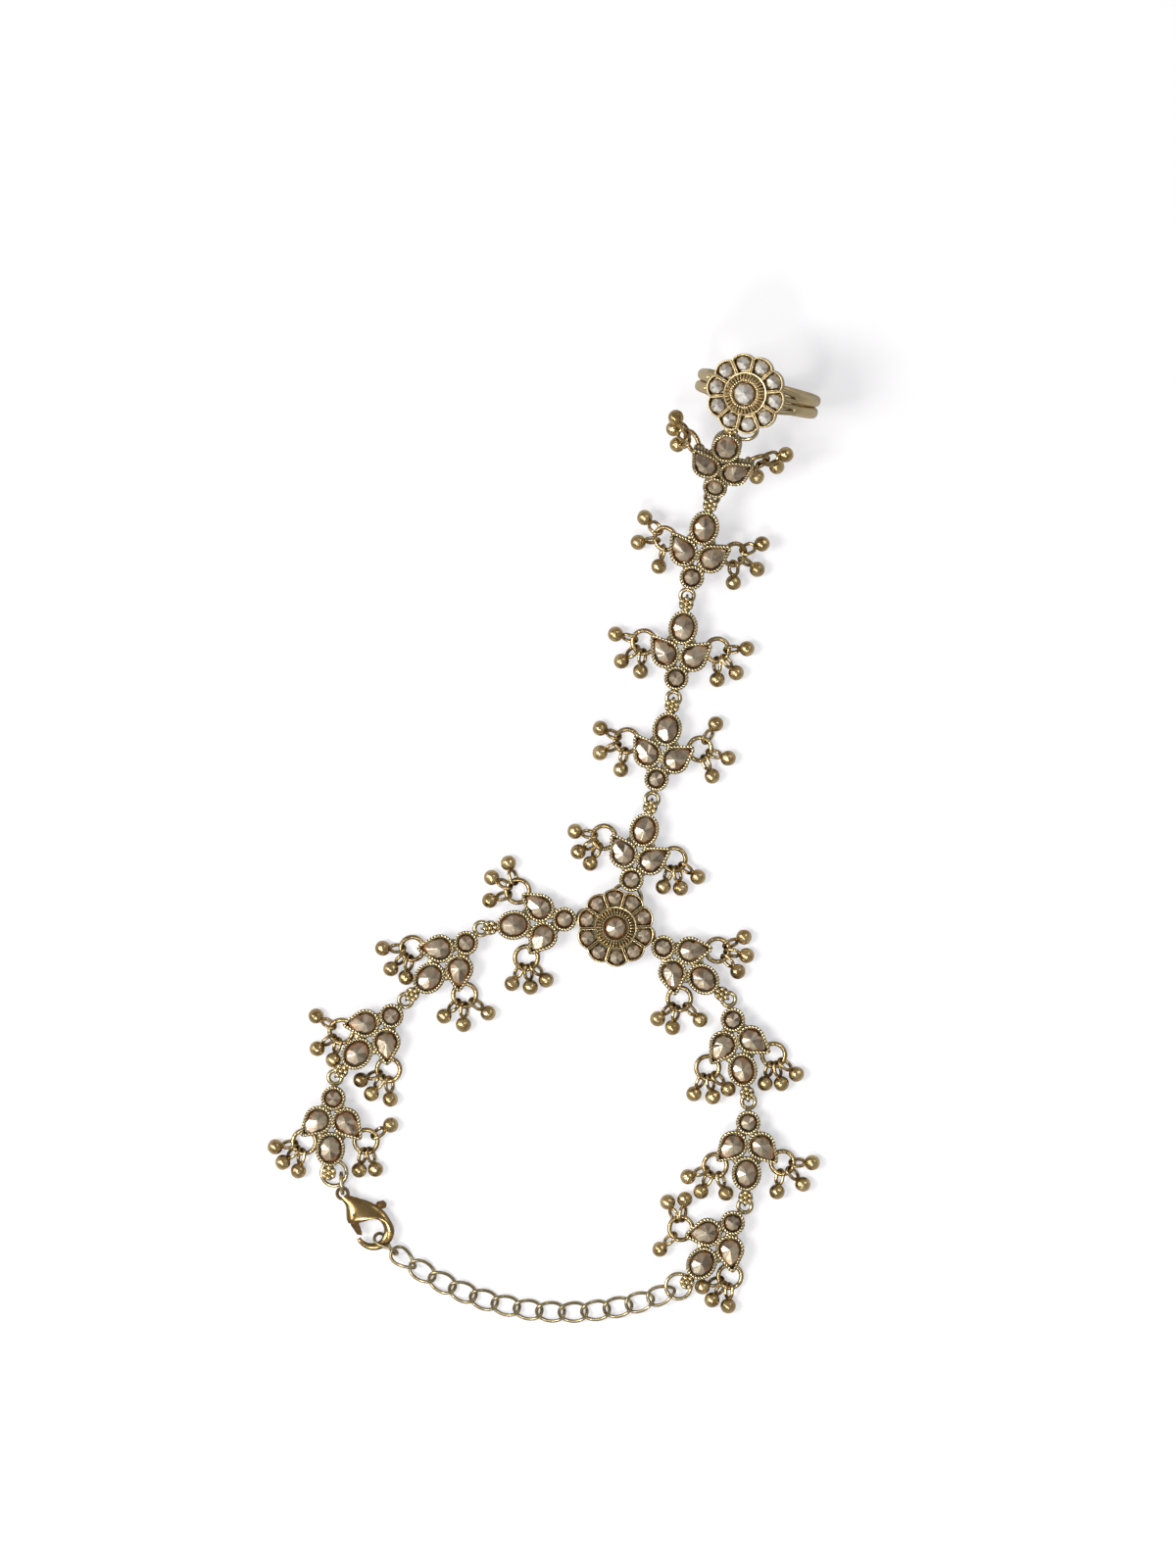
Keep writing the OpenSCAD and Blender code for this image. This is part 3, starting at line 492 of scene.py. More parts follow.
def add_link_body(casting, matrix, falls):
    """The part that all the links share. falls are the ways in which the two drop staples are turned."""
    for place, outer, inner, dashes in link_settings:
        add_setting(casting, matrix @ place, outer, inner, dashes)
    for side in (-1, 1):
        inner_bridge = matrix @ shift(round_at + pear_step * 0.46, side * pear_side * 0.46)
        outer_bridge = matrix @ shift(pear_at + 1.85, side * 1.4)
        for place in (inner_bridge, outer_bridge):
            casting.add(pebble(bridge_r, back_z, back_z + floor_h + 0.5), place, 0.55)
    between_pears = matrix @ shift(pear_at - pear_pull * math.cos(math.radians(45)), 0)
    casting.add(pebble(0.45, back_z, rim_z - 0.3), between_pears, 0.6)
    plate = [(0.95, 0), (1, 0.1), (1, 0.3), (0.92, 0.42), (0.5, 0.45)]
    plate = lathe([(cluster_r * r, cluster_z + z) for r, z in plate], 32)
    # The plate under the grains is dark: painted shade under them, with the patina
    casting.add(plate, matrix @ shift(cluster_at, 0), 0.85)
    for k in range(7):
        out = 2 * grain_r if k < 6 else 0
        grain = matrix @ shift(cluster_at, 0, cluster_z + cluster_h) @ turn("Z", 60 * k) @ shift(out, 0)
        height = ball(grain_r + 0.015, 16, 9)
        # Each grain darkens towards its underside: painted shade under it
        casting.add(height, grain, np.clip(0.75 - 2.6 * height[:, :, 2], 0.05, 1))
    tongue_from, tongue_to = oval_at + oval_half_l - 0.6, cluster_at - 0.3
    tongue = [
        (tongue_from, 0.75, cluster_z - 0.05, 0.33), (tongue_from + 0.7, 0.72, cluster_z - 0.02, 0.34),
        (tongue_to - 0.5, 0.66, cluster_z + 0.05, 0.32), (tongue_to, 0.6, cluster_z + 0.1, 0.28),
    ]
    casting.add(bar(tongue), matrix, 0.35)
    for side, fall in zip((1, -1), falls):
        place = matrix @ shift(staple_along, side * staple_aside, ring_plane_z) @ turn("Z", fall)
        casting.add(staple_wires(back_z - ring_plane_z + 0.2), place, 0.35)


def add_cast_ring(casting, matrix):
    """The cast ring at the link's start and the neck that joins it to the round setting."""
    casting.add(wire_ring(cast_ring_r, cast_ring_wire), matrix, 0.3, looped=True)
    edge = round_at - round_r
    half = cast_ring_wire / 2
    neck = [
        (cast_ring_r, 0.4, 0, half * 0.8), (edge, 0.5, 0.02, half), (edge + 0.25, 0.55, 0.12, half + 0.14),
        (edge + 0.6, 0.55, 0.2, half + 0.2),
    ]
    casting.add(bar(neck), matrix, 0.4)


def add_loop(casting, matrix):
    """The upright loop under the grains, which holds the next link's cast ring."""
    casting.add(wire_ring(loop_r, loop_wire), matrix @ shift(loop_at, 0) @ turn("X", 90), 0.35, looped=True)


def add_end_staple(casting, matrix, at, end_turn, leg_top):
    """The staple that ends an arm."""
    place = matrix @ shift(at, 0, ring_plane_z) @ turn("Z", end_turn)
    casting.add(staple_wires(leg_top - ring_plane_z), place, 0.35)


def direction(az, rise):
    """The unit vector at an azimuth and a rise."""
    az, rise = math.radians(az), math.radians(rise)
    return np.array([math.cos(rise) * math.cos(az), math.cos(rise) * math.sin(az), math.sin(rise)])


def link_frames(start, route):
    """Frames of an arm's links, from the heading, the rise and the pull of each: a link's loop holds the
    near side of the next link's cast ring."""
    place, frames = np.asarray(start, float), []
    for k, (az, rise, pull) in enumerate(route):
        frames.append(shift(*place) @ turn("Z", az) @ turn("Y", -rise))
        if k + 1 < len(route):
            place = place + (loop_at - pull) * direction(az, rise)
            place = place + cast_ring_r * direction(az, route[k + 1][1])
    return frames


# The route of the chain: heading, rise and pull of each link, from the rosette out
finger_route = [(75.5, 0, 0.15), (78, 0, 0.15), (82.5, 4, 0.15), (76, 12, 0.15), (74.5, 42, 0.15)]
left_route = [(186.5, 0, 0), (223.5, 0, 0), (227.5, 0, 0), (266.5, 0, 0)]
right_route = [(-38.5, 0, 0), (-79, 0, 0), (-92, 0, 0), (-127.5, 0, 0)]
back_loop_at = 4.1
finger_start_az = 69
finger_start_at = 4.76
side_start_az = {"left": 161, "right": -12.5}
finger_start = finger_start_at * direction(finger_start_az, 0) + (0, 0, band_z)
frames = {"finger": link_frames(finger_start, finger_route)}
for arm, route in (("left", left_route), ("right", right_route)):
    start = (back_loop_at + cast_ring_r) * direction(side_start_az[arm], 0) + (0, 0, band_z)
    frames[arm] = link_frames(start, route)

# How the drops of each link lie: for the left and the right group, the way its ring falls from the
# staple, the way each of its three drops fans out from that, and how steeply it hangs
drop_lay = {
    "finger": [
        [(92, (1, 42, 75), 0), (-112, (-75, -41, 0), 0)],
        [(105, (-28, 21, 75), 0), (-69, (-75, -27, 49), 0)],
        [(106, (-24, 32, 75), 4), (-98, (-75, -35, 18), 4)],
        [(120, (-60, -5, 60), 22), (-112, (-55, 0, 55), 22)],
        [(105, (-34, 0, 34), 45), (-121, (-45, 0, 45), 40)],
    ],
    "left": [
        [(48, (6, 43, 77), 0), (-40, (-38, 6, 52), 0)],
        [(76, (-74, -32, 23), 0), (-40, (-4, 40, 74), 0)],
        [(48, (-75, -41, -2), 0), (-4, (-75, -8, 31), 0)],
        [(52, (-62, -30, 75), 0), (-6, (-71, -37, -2), 0)],
    ],
    "right": [
        [(30, (-38, -2, 35), 0), (-24, (-75, -41, 17), 0)],
        [(43, (-71, -39, -4), 0), (-44, (5, 43, 77), 0)],
        [(65, (-74, -20, 27), 0), (-28, (-38, 1, 51), 0)],
        [(28, (-60, -28, 6), 0), (-80, (-70, -36, 72), 0)],
    ],
}
# Along the last link of each arm: where its end staple sits, how it is turned and how far up it goes
end_staples = {
    "finger": (14, -75, cluster_z + 0.1),
    "left": (13.4, 22, floor_z - 0.1),
    "right": (14.7, -17, cluster_z + 0.1),
}


def antique_gold(name, ridge, hollow, deepest, ridge_gloss=0.17):
    """Gold plate on brass: bright where it is rubbed, darker and rougher as it lies deeper, from patina and
    painted shade, and a paler brown where its depth is full."""
    finish = Finish(name)
    patina = finish.noise(1.6, 4).within(0.3, 0.7)
    depth = (finish.attribute("recess") + 0.4 * patina - 0.2).within(0, 1)
    stops = [(0, ridge), (1, hollow), (1, deepest)]
    colour = finish.node("ShaderNodeValToRGB", {"stops": stops}, {"Fac": depth})
    darkening = finish.noise(5, 2).within(0.55, 0.75)
    finish.set("Base Color", finish.mix(0.25 * darkening, colour, (0.42, 0.25, 0.1)))
    finish.set("Metallic", 1 - 0.55 * depth.within(0.55, 1))
    finish.set("Roughness", ridge_gloss + 0.08 * patina + 0.32 * depth.within(0.3, 1))
    finish.bump(finish.noise(0.35, 3), 0.012)
    return finish.material


gold = antique_gold("antique gold", (0.76, 0.62, 0.35), (0.014, 0.006, 0.002), (0.193, 0.13625, 0.0647))

for arm, arm_frames in frames.items():
    for k, matrix in enumerate(arm_frames):
        casting = Casting()
        add_link_body(casting, matrix, [group[0] for group in drop_lay[arm][k]])
        if arm == "finger" and k == 0:
            hold = matrix @ shift(hand_ring_r, 0, ring_plane_z)
            casting.add(staple_wires(back_z - ring_plane_z + 0.2), hold, 0.35)
        else:
            add_cast_ring(casting, matrix)
        if k + 1 == len(arm_frames):
            add_end_staple(casting, matrix, *end_staples[arm])
        else:
            add_loop(casting, matrix)
        link = casting.piece(f"{arm}_link_{k + 1}_cast", gold)
        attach(link, "root")
        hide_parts(f"{arm}_link_{k + 1}")


# The links' stones are foiled glass in a champagne tone, cut with a small table, eight broad facets
# and eight more down to the edge. They sit loose in their wells, a hair inside the metal.
stone_gap = 0.12
stone_edge_z = 1.5
stone_top_z = 2.2
stone_lift = floor_z + stone_gap
table_share = 0.1
# The way to the window, and the tones of the painted highlight on the facet that faces it and of the painted
# half light on its neighbour
flash_az = 222
flash_tone = 0.88
half_lit_tone = 0.7
broad_slope = 0.8
edge_slope = 2.5


def cut_stone(outline, low, edge, top, turned=0.0, around=48):
    """Rings of a cut stone with its facets' tones. Seen from above, a direction's reach is the
    outline's own radius there. The height is the least of the table, eight broad planes and eight edge
    planes between them: a plane falls with the share of the reach times the cosine of the angle
    from its own direction. The breaks between them give the rings."""
    angle = 2 * math.pi * np.arange(around) / around
    polar = np.arctan2(outline[:, 1], outline[:, 0]) % (2 * math.pi)
    order = np.argsort(polar)
    reach = np.interp(angle, polar[order], np.linalg.norm(outline, axis=1)[order], period=2 * math.pi)
    eighth = math.pi / 4
    local = angle + math.radians(turned)
    broad = np.cos((local + eighth / 2) % eighth - eighth / 2)
    narrow = np.cos(local % eighth - eighth / 2)
    crown = top - edge
    table_edge = table_share / broad
    fold = (edge_slope - 1 - broad_slope * table_share) / (edge_slope * narrow - broad_slope * broad)
    fold_rise = edge_slope * (1 - fold * narrow)
    rim_rise = edge_slope * (1 - narrow)
    rows = [
        (table_edge, top), (fold, edge + crown * fold_rise), (1 + 0 * angle, edge + crown * rim_rise),
        (1 + 0 * angle, edge - 0.12), (0.7 + 0 * angle, low),
    ]
    x, y = reach * np.cos(angle), reach * np.sin(angle)
    rings = [np.stack([r * x, r * y, z + 0 * angle], axis=1) for r, z in rows]
    middle = local + math.pi / around
    broad_index = np.round(middle / eighth).astype(int) % 8
    narrow_index = np.floor(middle / eighth).astype(int) % 8
    return rings, broad_index, narrow_index


dice = np.random.default_rng(7)


def add_stone(casting, matrix, outline, low, edge, top, turned=0.0):
    """One stone. Its facets' tones are drawn at random, but the broad facet that faces the window is painted
    pale as a highlight, and the one beside it is painted half lit."""
    rings, broad_index, narrow_index = cut_stone(outline, low, edge, top, turned)
    broad_tones, narrow_tones = 0.15 + 0.5 * dice.random(8), 0.7 * dice.random(8)
    heading = math.degrees(math.atan2(matrix[1, 0], matrix[0, 0]))
    # The facet that faces the window gets a painted highlight, its neighbour a painted half light
    flash = round((flash_az - heading + turned) / 45) % 8
    broad_tones[flash] = flash_tone
    broad_tones[(flash + 1) % 8] = half_lit_tone
    under = np.full(len(broad_index), 0.2)
    quad_tones = np.concatenate([broad_tones[broad_index], narrow_tones[narrow_index], under, under])
    table_tone = np.full(len(broad_index), 0.3 + 0.4 * dice.random())
    # The depth shade rises towards the stone's edge, where the foil's copper and painted shade show
    depth = np.array([0, 0.55, 1, 1, 1])[:, None]
    casting.add(rings, matrix, depth, tones=(quad_tones, np.concatenate([table_tone, under])))


def foiled_glass(name, dark, pale, foil_and_shade):
    """Foiled glass: each facet has its own tone, and the facet that faces the window has a painted
    highlight. It is cloudy from within, with a clear polish over it, and towards the edge it turns to the
    copper of the foil behind it, which stands partly for the foil's colour and partly for painted shade
    round the stone."""
    finish = Finish(name, Metallic=0.35, Coat_Weight=0.35, Coat_Roughness=0.03)
    tone = finish.attribute("tone")
    cloud = finish.noise(0.9, 2).within(0.3, 0.7)
    mood = (0.9 * tone + 0.22 * cloud - 0.06).within(0, 1)
    colour = finish.node("ShaderNodeValToRGB", {"stops": [(0, dark), (1, pale)]}, {"Fac": mood})
    # Towards the edge the colour turns to copper: partly the foil, partly painted shade round the stone
    edge = finish.attribute("recess").within(0.25, 0.95) * finish.noise(1.3, 1).within(0.4, 0.6)
    finish.set("Base Color", finish.mix(edge, colour, foil_and_shade))
    finish.set("Roughness", 0.16 + 0.1 * cloud)
    return finish.material


copper_foil_and_shade = (0.34, 0.13, 0.035)
champagne = foiled_glass("champagne glass", (0.035, 0.017, 0.007), (0.6, 0.51, 0.37), copper_foil_and_shade)
stone_margin = 0.15
well_r = round_r - rim_w - stone_margin
pear_stone = pear(pear_r - rim_w - stone_margin, pear_tip + pear_pull - 1.4 * rim_w - stone_margin, 0.27)
link_stones = [
    (link_settings[0][0], oval(well_r, well_r)),
    (link_settings[1][0], oval(oval_half_l - rim_w - stone_margin, oval_half_w - rim_w - stone_margin)),
    (link_settings[2][0], pear_stone),
    (link_settings[3][0], pear_stone),
]
for arm, arm_frames in frames.items():
    for k, matrix in enumerate(arm_frames):
        casting = Casting()
        for place, outline in link_stones:
            turned = dice.uniform(0, 45)
            add_stone(casting, matrix @ place, outline, stone_lift, stone_edge_z, stone_top_z, turned)
        stones = casting.piece(f"{arm}_stones_{k + 1}_cut", champagne, 6)
        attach(stones, "root")
        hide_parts(f"{arm}_stones_{k + 1}")


# The ball drops hang three to a ring, two rings to a link. A drop is a long eye of wire with a
# hollow-looking satin ball soldered to its end; they lie as they fell.
drop_ring_r = 1.83
drop_ring_wire = 0.72
ball_r = 1.22
ball_at = 4.7
eye_wire = 0.56
eye_r = 0.8
# An eye that leans less than about 33 degrees dips into the table
eye_leans = (34, 42)
eye_half_straight = 0.35
eye_inner_end = 1.18
# The depth shade of the drops' wires, which darkens them as painted shade
wire_painted_shade = 0.5
dent_edge = 0.86
dent_depth = 0.22


def satin_gold():
    """Soft, slightly uneven gold plate, darker and browner on the wires as painted shade."""
    finish = Finish("satin gold", Metallic=1.0)
    cloud = finish.noise(2.2, 3).within(0.3, 0.7)
    plate = finish.mix(cloud, (0.36, 0.24, 0.1), (0.74, 0.57, 0.29))
    # The wires, which carry a higher depth shade, are darkened towards brown: painted shade
    darkening = finish.attribute("recess").within(0.3, 1)
    finish.set("Base Color", finish.mix(darkening, plate, (0.07, 0.035, 0.012)))
    finish.set("Roughness", 0.16 + 0.14 * cloud)
    finish.bump(0.8 * finish.noise(0.8, 1) + 0.2 * finish.noise(0.25, 2), 0.16)
    return finish.material


def add_drop(casting, matrix):
    """One drop along X from its ring's centre: the eye goes round the ring's wire. The ball is pressed in
    round three random directions, by a share that grows with the cosine of the angle to each."""
    eye_lean = dice.choice((-1, 1)) * dice.uniform(*eye_leans)
    eye_at = eye_inner_end + eye_r + eye_half_straight
    near = circle_points(eye_r, 15, 90, 180) - (eye_half_straight, 0)
    far = circle_points(eye_r, 15, -90, 180) + (eye_half_straight, 0)
    flat = np.vstack([near, far])
    eye = matrix @ shift(eye_at, 0) @ turn("X", eye_lean) @ turn("X", 90)
    wire = tube(np.c_[flat, np.zeros(len(flat))], eye_wire / 2, 10, (0, 0, 1), looped=True)
    casting.add(wire, eye, wire_painted_shade, looped=True)
    neck_at = eye_at + eye_half_straight + eye_r
    rise = ball_r - band_z - ring_plane_z
    neck = [
        (neck_at - 0.1, 0, 0), (neck_at + 0.1, 0, 0.02), (ball_at - ball_r + 0.15, 0, rise * 0.6),
        (ball_at - 0.8, 0, rise),
    ]
    casting.add(tube(neck, np.array([0.28, 0.3, 0.34, 0.5]), 12, (0, 0, 1)), matrix, 0.4)
    round_ball = ball(ball_r, 32, 19)
    dent = dice.normal(size=(3, 3))
    shape = unit(round_ball)
    press = sum(np.clip(shape @ unit(d) - dent_edge, 0, None) for d in dent)
    casting.add(round_ball * (1 - dent_depth * press[:, :, None]), matrix @ shift(ball_at, 0, rise), 0.3)


satin = satin_gold()
for arm, arm_frames in frames.items():
    for k, matrix in enumerate(arm_frames):
        casting = Casting()
        for side, (fall, fan, hang) in zip((1, -1), drop_lay[arm][k]):
            staple = matrix @ shift(staple_along, side * staple_aside, ring_plane_z)
            group = staple @ turn("Z", fall) @ turn("Y", hang) @ shift(drop_ring_r, 0)
            casting.add(wire_ring(drop_ring_r, drop_ring_wire), group, wire_painted_shade, looped=True)
            for spread in fan:
                add_drop(casting, group @ turn("Z", spread))
        drops = casting.piece(f"{arm}_drops_{k + 1}_hung", satin)
        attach(drops, "root")
        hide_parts(f"{arm}_drops_{k + 1}")


# The two flower rosettes are castings of ten petals, each a walled tray with a round stone, about a
# boss with a reeded slope and a circle of beads round the centre stone.
petal_count = 10
petal_at = 4
petal_r = 2.2
petal_wall = 0.24
petal_h = 1.9
plate_h = 0.5
petal_stone_r = 1.1
boss_r = 3.4
boss_h = 2.8
bead_circle_r = 2.06
bead_count = 34
bead_r = 0.17
ridge_count = 34
centre_stone_r = 1.6
rosette_lift = 1.6
pad_r = 1.7
petal_turn = 19.8
petal_stone_at = petal_at + petal_r - petal_wall - petal_stone_r - stone_gap
petal_stone_edge_z = 1.3
petal_stone_top_z = 1.92
centre_seat_z = boss_h - 0.9
centre_stone_edge_h = 0.6
centre_stone_top_h = 1.4
tray_floor = 0.62


def petals(matrix, casting):
    """The petals' relief over polar places. A point's depth into its petal is the lesser of its distance
    inside the petal's round and its distance from the line between two petals. The wall stands at
    full height up to the wall's thickness, with a groove where two walls meet, and falls to the
    tray's floor beyond it. The rows run from the boss to the round, then down the outside."""
    half = math.pi / petal_count
    steps, rows = 56, 34
    across = (np.arange(steps) + 0.5) / steps * 2 - 1
    aside = half * (0.5 * across + 0.5 * np.sin(across * math.pi / 2))
    centres = 2 * half * np.arange(petal_count)
    angle = (centres[:, None] + aside).ravel()
    aside = np.tile(aside, petal_count)
    rim = petal_at * np.cos(aside) + np.sqrt(petal_r ** 2 - (petal_at * np.sin(aside)) ** 2)
    inner = boss_r - 0.2
    share = (1 - (1 - np.linspace(0, 1, rows)) ** 1.6)[:, None]
    radius = inner + (rim - inner) * share
    x, y = radius * np.cos(aside), radius * np.sin(aside)
    to_round = petal_r - np.hypot(x - petal_at, y)
    to_next = radius * np.sin(half - np.abs(aside))
    inside = np.where(x > petal_at * 0.8, np.minimum(to_round, to_next), to_next)
    crest = petal_h - 0.1 * np.clip((inside - petal_wall / 2) / (petal_wall / 2), -1, 1) ** 2
    fall = np.clip((inside - petal_wall) / 0.14, 0, 1)
    fall = fall * fall * (3 - 2 * fall)
    groove = 0.22 * np.clip(1 - to_next / 0.09, 0, 1)
    z = crest * (1 - fall) + tray_floor * fall - groove * (1 - fall)
    # The trays darken towards their walls and the grooves between petals are dark: painted shade, with the
    # patina
    tray = 0.45 + 0.5 * np.clip(1.5 - (inside - petal_wall) / 0.22, 0, 1)
    recess = np.clip(fall * tray + groove * 2.5, 0, 1) + 0.02
    outside = [(1.004, petal_h - 0.26, 0.35), (1.004, 0.5, 0.5), (1.0, 0.12, 0.6), (0.97, 0.0, 0.7)]
    edge = [rim * s for s, _, _ in outside]
    rings_r = np.vstack([radius, edge])
    rings_z = np.vstack([z, [np.full_like(rim, h) for _, h, _ in outside]])
    rings_d = np.vstack([recess, [np.full_like(rim, d) for _, _, d in outside]])
    rings = np.stack([rings_r * np.cos(angle), rings_r * np.sin(angle), rings_z], axis=2)
    casting.add(rings, matrix, rings_d)


def boss(matrix, casting):
    """The turned boss, whose slope swells and sinks ridge_count times round it, and its beads."""
    slope_r = bead_circle_r + 0.28
    # Radius, height, share of the ridges and depth shade of each ring, which is patina and painted shade
    rows = np.array([
        (boss_r, 0.1, 0, 0.7), (boss_r, petal_h - 0.25, 0, 0.6), (boss_r - 0.03, petal_h - 0.06, 0, 0.2),
        (boss_r - 0.12, petal_h + 0.02, 0, 0.0), (boss_r - 0.24, petal_h, 0, 0.3),
        (boss_r - 0.3, petal_h - 0.08, 0, 0.9), (boss_r - 0.35, petal_h - 0.02, 0.6, 0.5),
        (boss_r - 0.45, petal_h + 0.14, 1, 0.35), (slope_r + 0.3, boss_h - 0.3, 1, 0.3),
        (slope_r + 0.08, boss_h - 0.12, 0.8, 0.3), (slope_r, boss_h - 0.1, 0, 0.6),
        (slope_r - 0.06, boss_h - 0.2, 0, 1.0), (bead_circle_r - 0.15, boss_h - 0.2, 0, 1.0),
        (bead_circle_r - 0.24, boss_h - 0.12, 0, 0.4), (centre_stone_r + stone_gap, boss_h - 0.2, 0, 0.7),
        (centre_stone_r + stone_gap, centre_seat_z, 0, 1.0),
    ])
    steps_per_ridge = 10
    around = ridge_count * steps_per_ridge
    wave = np.cos(2 * math.pi * np.arange(around) / steps_per_ridge)
    swell = 0.12 * rows[:, 2, None] * wave
    radius = rows[:, 0, None] + 0.75 * swell
    height = rows[:, 1, None] + 0.9 * swell
    angle = 2 * math.pi * np.arange(around) / around
    rings = np.stack([radius * np.cos(angle), radius * np.sin(angle), height], axis=2)
    # The valleys between the boss's ridges are darker: painted shade, with the patina
    casting.add(rings, matrix, np.clip(rows[:, 3, None] + (0.15 - 0.9 * wave) * rows[:, 2, None], 0, 1))
    for k in range(bead_count):
        place = matrix @ turn("Z", 360 * k / bead_count) @ shift(bead_circle_r, 0, boss_h - 0.08)
        bead = ball(bead_r, 10, 6)
        # Each bead darkens towards its underside: painted shade under it
        casting.add(bead, place, np.clip(0.4 - 3 * bead[:, :, 2], 0, 1))


def add_rosette_stones(matrix, nodes, material):
    """The ten petal stones and the centre stone of a rosette, a piece for each of its two nodes."""
    petal_stones, centre_stone = Casting(), Casting()
    outline, low = oval(petal_stone_r, petal_stone_r), plate_h + stone_gap
    for k in range(petal_count):
        place = matrix @ turn("Z", 360 * k / petal_count) @ shift(petal_stone_at, 0)
        turned = dice.uniform(0, 45)
        add_stone(petal_stones, place, outline, low, petal_stone_edge_z, petal_stone_top_z, turned)
    outline, low = oval(centre_stone_r, centre_stone_r), centre_seat_z + stone_gap
    edge, top = low + centre_stone_edge_h, low + centre_stone_top_h
    add_stone(centre_stone, matrix, outline, low, edge, top, 12)
    for stones, node in zip((petal_stones, centre_stone), nodes):
        made = stones.piece(f"{node}_cut", material, 6)
        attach(made, "root")
        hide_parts(node)


rosette_frame = shift(0, 0, rosette_lift) @ turn("Z", petal_turn)
casting = Casting()
petals(rosette_frame, casting)
boss(rosette_frame, casting)
pad = [(pad_r - 0.1, 0), (pad_r, 0.1), (pad_r, rosette_lift + 0.1), (pad_r - 0.1, rosette_lift + 0.12)]
casting.add(lathe(pad, 48), np.eye(4), 0.5)
for az in side_start_az.values():
    hold = turn("Z", az) @ shift(back_loop_at, 0, band_z)
    casting.add(staple_wires(rosette_lift - band_z + 0.25, loop_r, loop_wire), hold, 0.35)
hold = turn("Z", finger_start_az) @ shift(finger_start_at - hand_ring_r, 0, band_z + ring_plane_z)
casting.add(staple_wires(rosette_lift - band_z - ring_plane_z + 0.2), hold, 0.35)
rosette = casting.piece("hand_rosette_cast", gold)
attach(rosette, "root")
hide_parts("hand_rosette")
hand_stones = ("hand_petal_stones", "hand_centre_stone")
add_rosette_stones(rosette_frame, hand_stones, champagne)


# The finger ring stands on its hoop, rolled and leaning a little towards the chain. Two brushed
# bands side by side fork into four strands that rise to a rosette like the other.
finger_r = 8.6
band_w = 1.85
band_h = 1.3
ring_rosette_at = 10.2
ring_roll = 10
ring_lean = 8
ring_place = (22.3, 84.2)
ring_az = 76.5
fork_half_angle = 43
ring_hold_turn = 10
hoop_outer_r = finger_r + band_h
strand_centre_r = finger_r + 0.95
strand_r = 0.43
lean = math.radians(ring_lean)
ring_centre_z = hoop_outer_r * math.cos(lean) + band_w * math.sin(lean)
ring_frame = shift(*ring_place, ring_centre_z) @ turn("Z", ring_az - 90)
ring_frame = ring_frame @ turn("X", ring_lean) @ turn("Y", -ring_roll)


def band_rings(across):
    """One band of the hoop: a D section, flat inside and domed outside, carried round the finger hole."""
    around, steps = 28, 170
    dome_h, flat_h = band_h * 0.72, band_h * 0.28
    rise = np.sin(2 * math.pi * np.arange(around) / around)
    side = soft_round(around, 0.75)[0] * band_w * 0.49
    out = np.where(rise > 0, dome_h * rise, flat_h * soft_round(around, 0.4)[1])
    sweep = np.radians(np.linspace(90 + fork_half_angle, 450 - fork_half_angle, steps))
    ends = np.clip(np.minimum(np.arange(steps), np.arange(steps)[::-1]) / 3, 0.35, 1)[:, None]
    radius = finger_r + flat_h + out * ends
    return np.stack([
        radius * np.cos(sweep)[:, None], across + side * ends, radius * np.sin(sweep)[:, None],
    ], axis=2)


def strand_rings(side, across):
    """One of the fork's strands: an arc of round wire beside the finger hole, turned aside about the
    hoop's radius as it rises."""
    steps = 24
    arc = circle_points(strand_centre_r, steps, 87 if side > 0 else 45, 48)
    path = np.c_[arc[:, 0], np.full(steps, across), arc[:, 1]]
    path = path @ (turn("Y", side * (fork_half_angle + 3)) @ turn("Z", -side * across * 5.5))[:3, :3].T
    return tube(path, strand_r, 12, (0, 1, 0))


def brushed_gold():
    """Warm matt gold, brushed round the hoop, darker where the strands meet, which is painted shade, and a
    paler gold where its depth is full."""
    finish = Finish("brushed gold")
    # The depth shade darkens the strands' inner sides and the seat: painted shade where the parts meet
    depth = (finish.attribute("recess") + 0.25 * finish.noise(2, 3) - 0.12).within(0, 1)
    grain_place = finish.node("ShaderNodeMapping", {}, {"Vector": finish.place, "Scale": (1, 14, 1)})
    grain = finish.node("ShaderNodeTexNoise", {}, {"Vector": grain_place, "Scale": 0.9 / MM, "Detail": 3.0})
    stops = [(0, (0.82, 0.66, 0.38)), (1, (0.03, 0.014, 0.006)), (1, (0.46, 0.31, 0.13))]
    colour = finish.node("ShaderNodeValToRGB", {"stops": stops}, {"Fac": depth})
    finish.set("Base Color", colour)
    finish.set("Metallic", 1 - 0.4 * depth.within(0.6, 1))
    finish.set("Roughness", 0.27 + 0.14 * grain)
    finish.bump(grain, 0.025)
    return finish.material


casting = Casting()
for side in (-1, 1):
    casting.add(band_rings(side * band_w / 2), ring_frame, 0.2)
    for across in (-1.35, -0.45, 0.45, 1.35):
        strand = strand_rings(side, across)
        # A strand is darker on its side towards the finger hole: painted shade where it meets the hoop
        below = (np.linalg.norm(strand[:, :, ::2], axis=2) - strand_centre_r) / strand_r
        casting.add(strand, ring_frame, np.clip(0.75 - 0.5 * below, 0.25, 1))
seat_low, seat_high = finger_r + 0.55, ring_rosette_at + 0.05
seat = [(3.7, seat_low), (4, seat_low + 0.15), (4, seat_high - 0.1), (3.9, seat_high)]
# The seat under the rosette is dark: painted shade
casting.add(lathe(seat, 64), ring_frame, 0.8)
ring_rosette_frame = ring_frame @ shift(0, 0, ring_rosette_at)
petals(ring_rosette_frame, casting)
boss(ring_rosette_frame, casting)


def end_ring_middle(arm):
    """The middle of an arm's end ring in its last link's frame."""
    at, end_turn, _ = end_staples[arm]
    return np.array([at, 0, ring_plane_z]) + end_ring_r * direction(end_turn, 0)


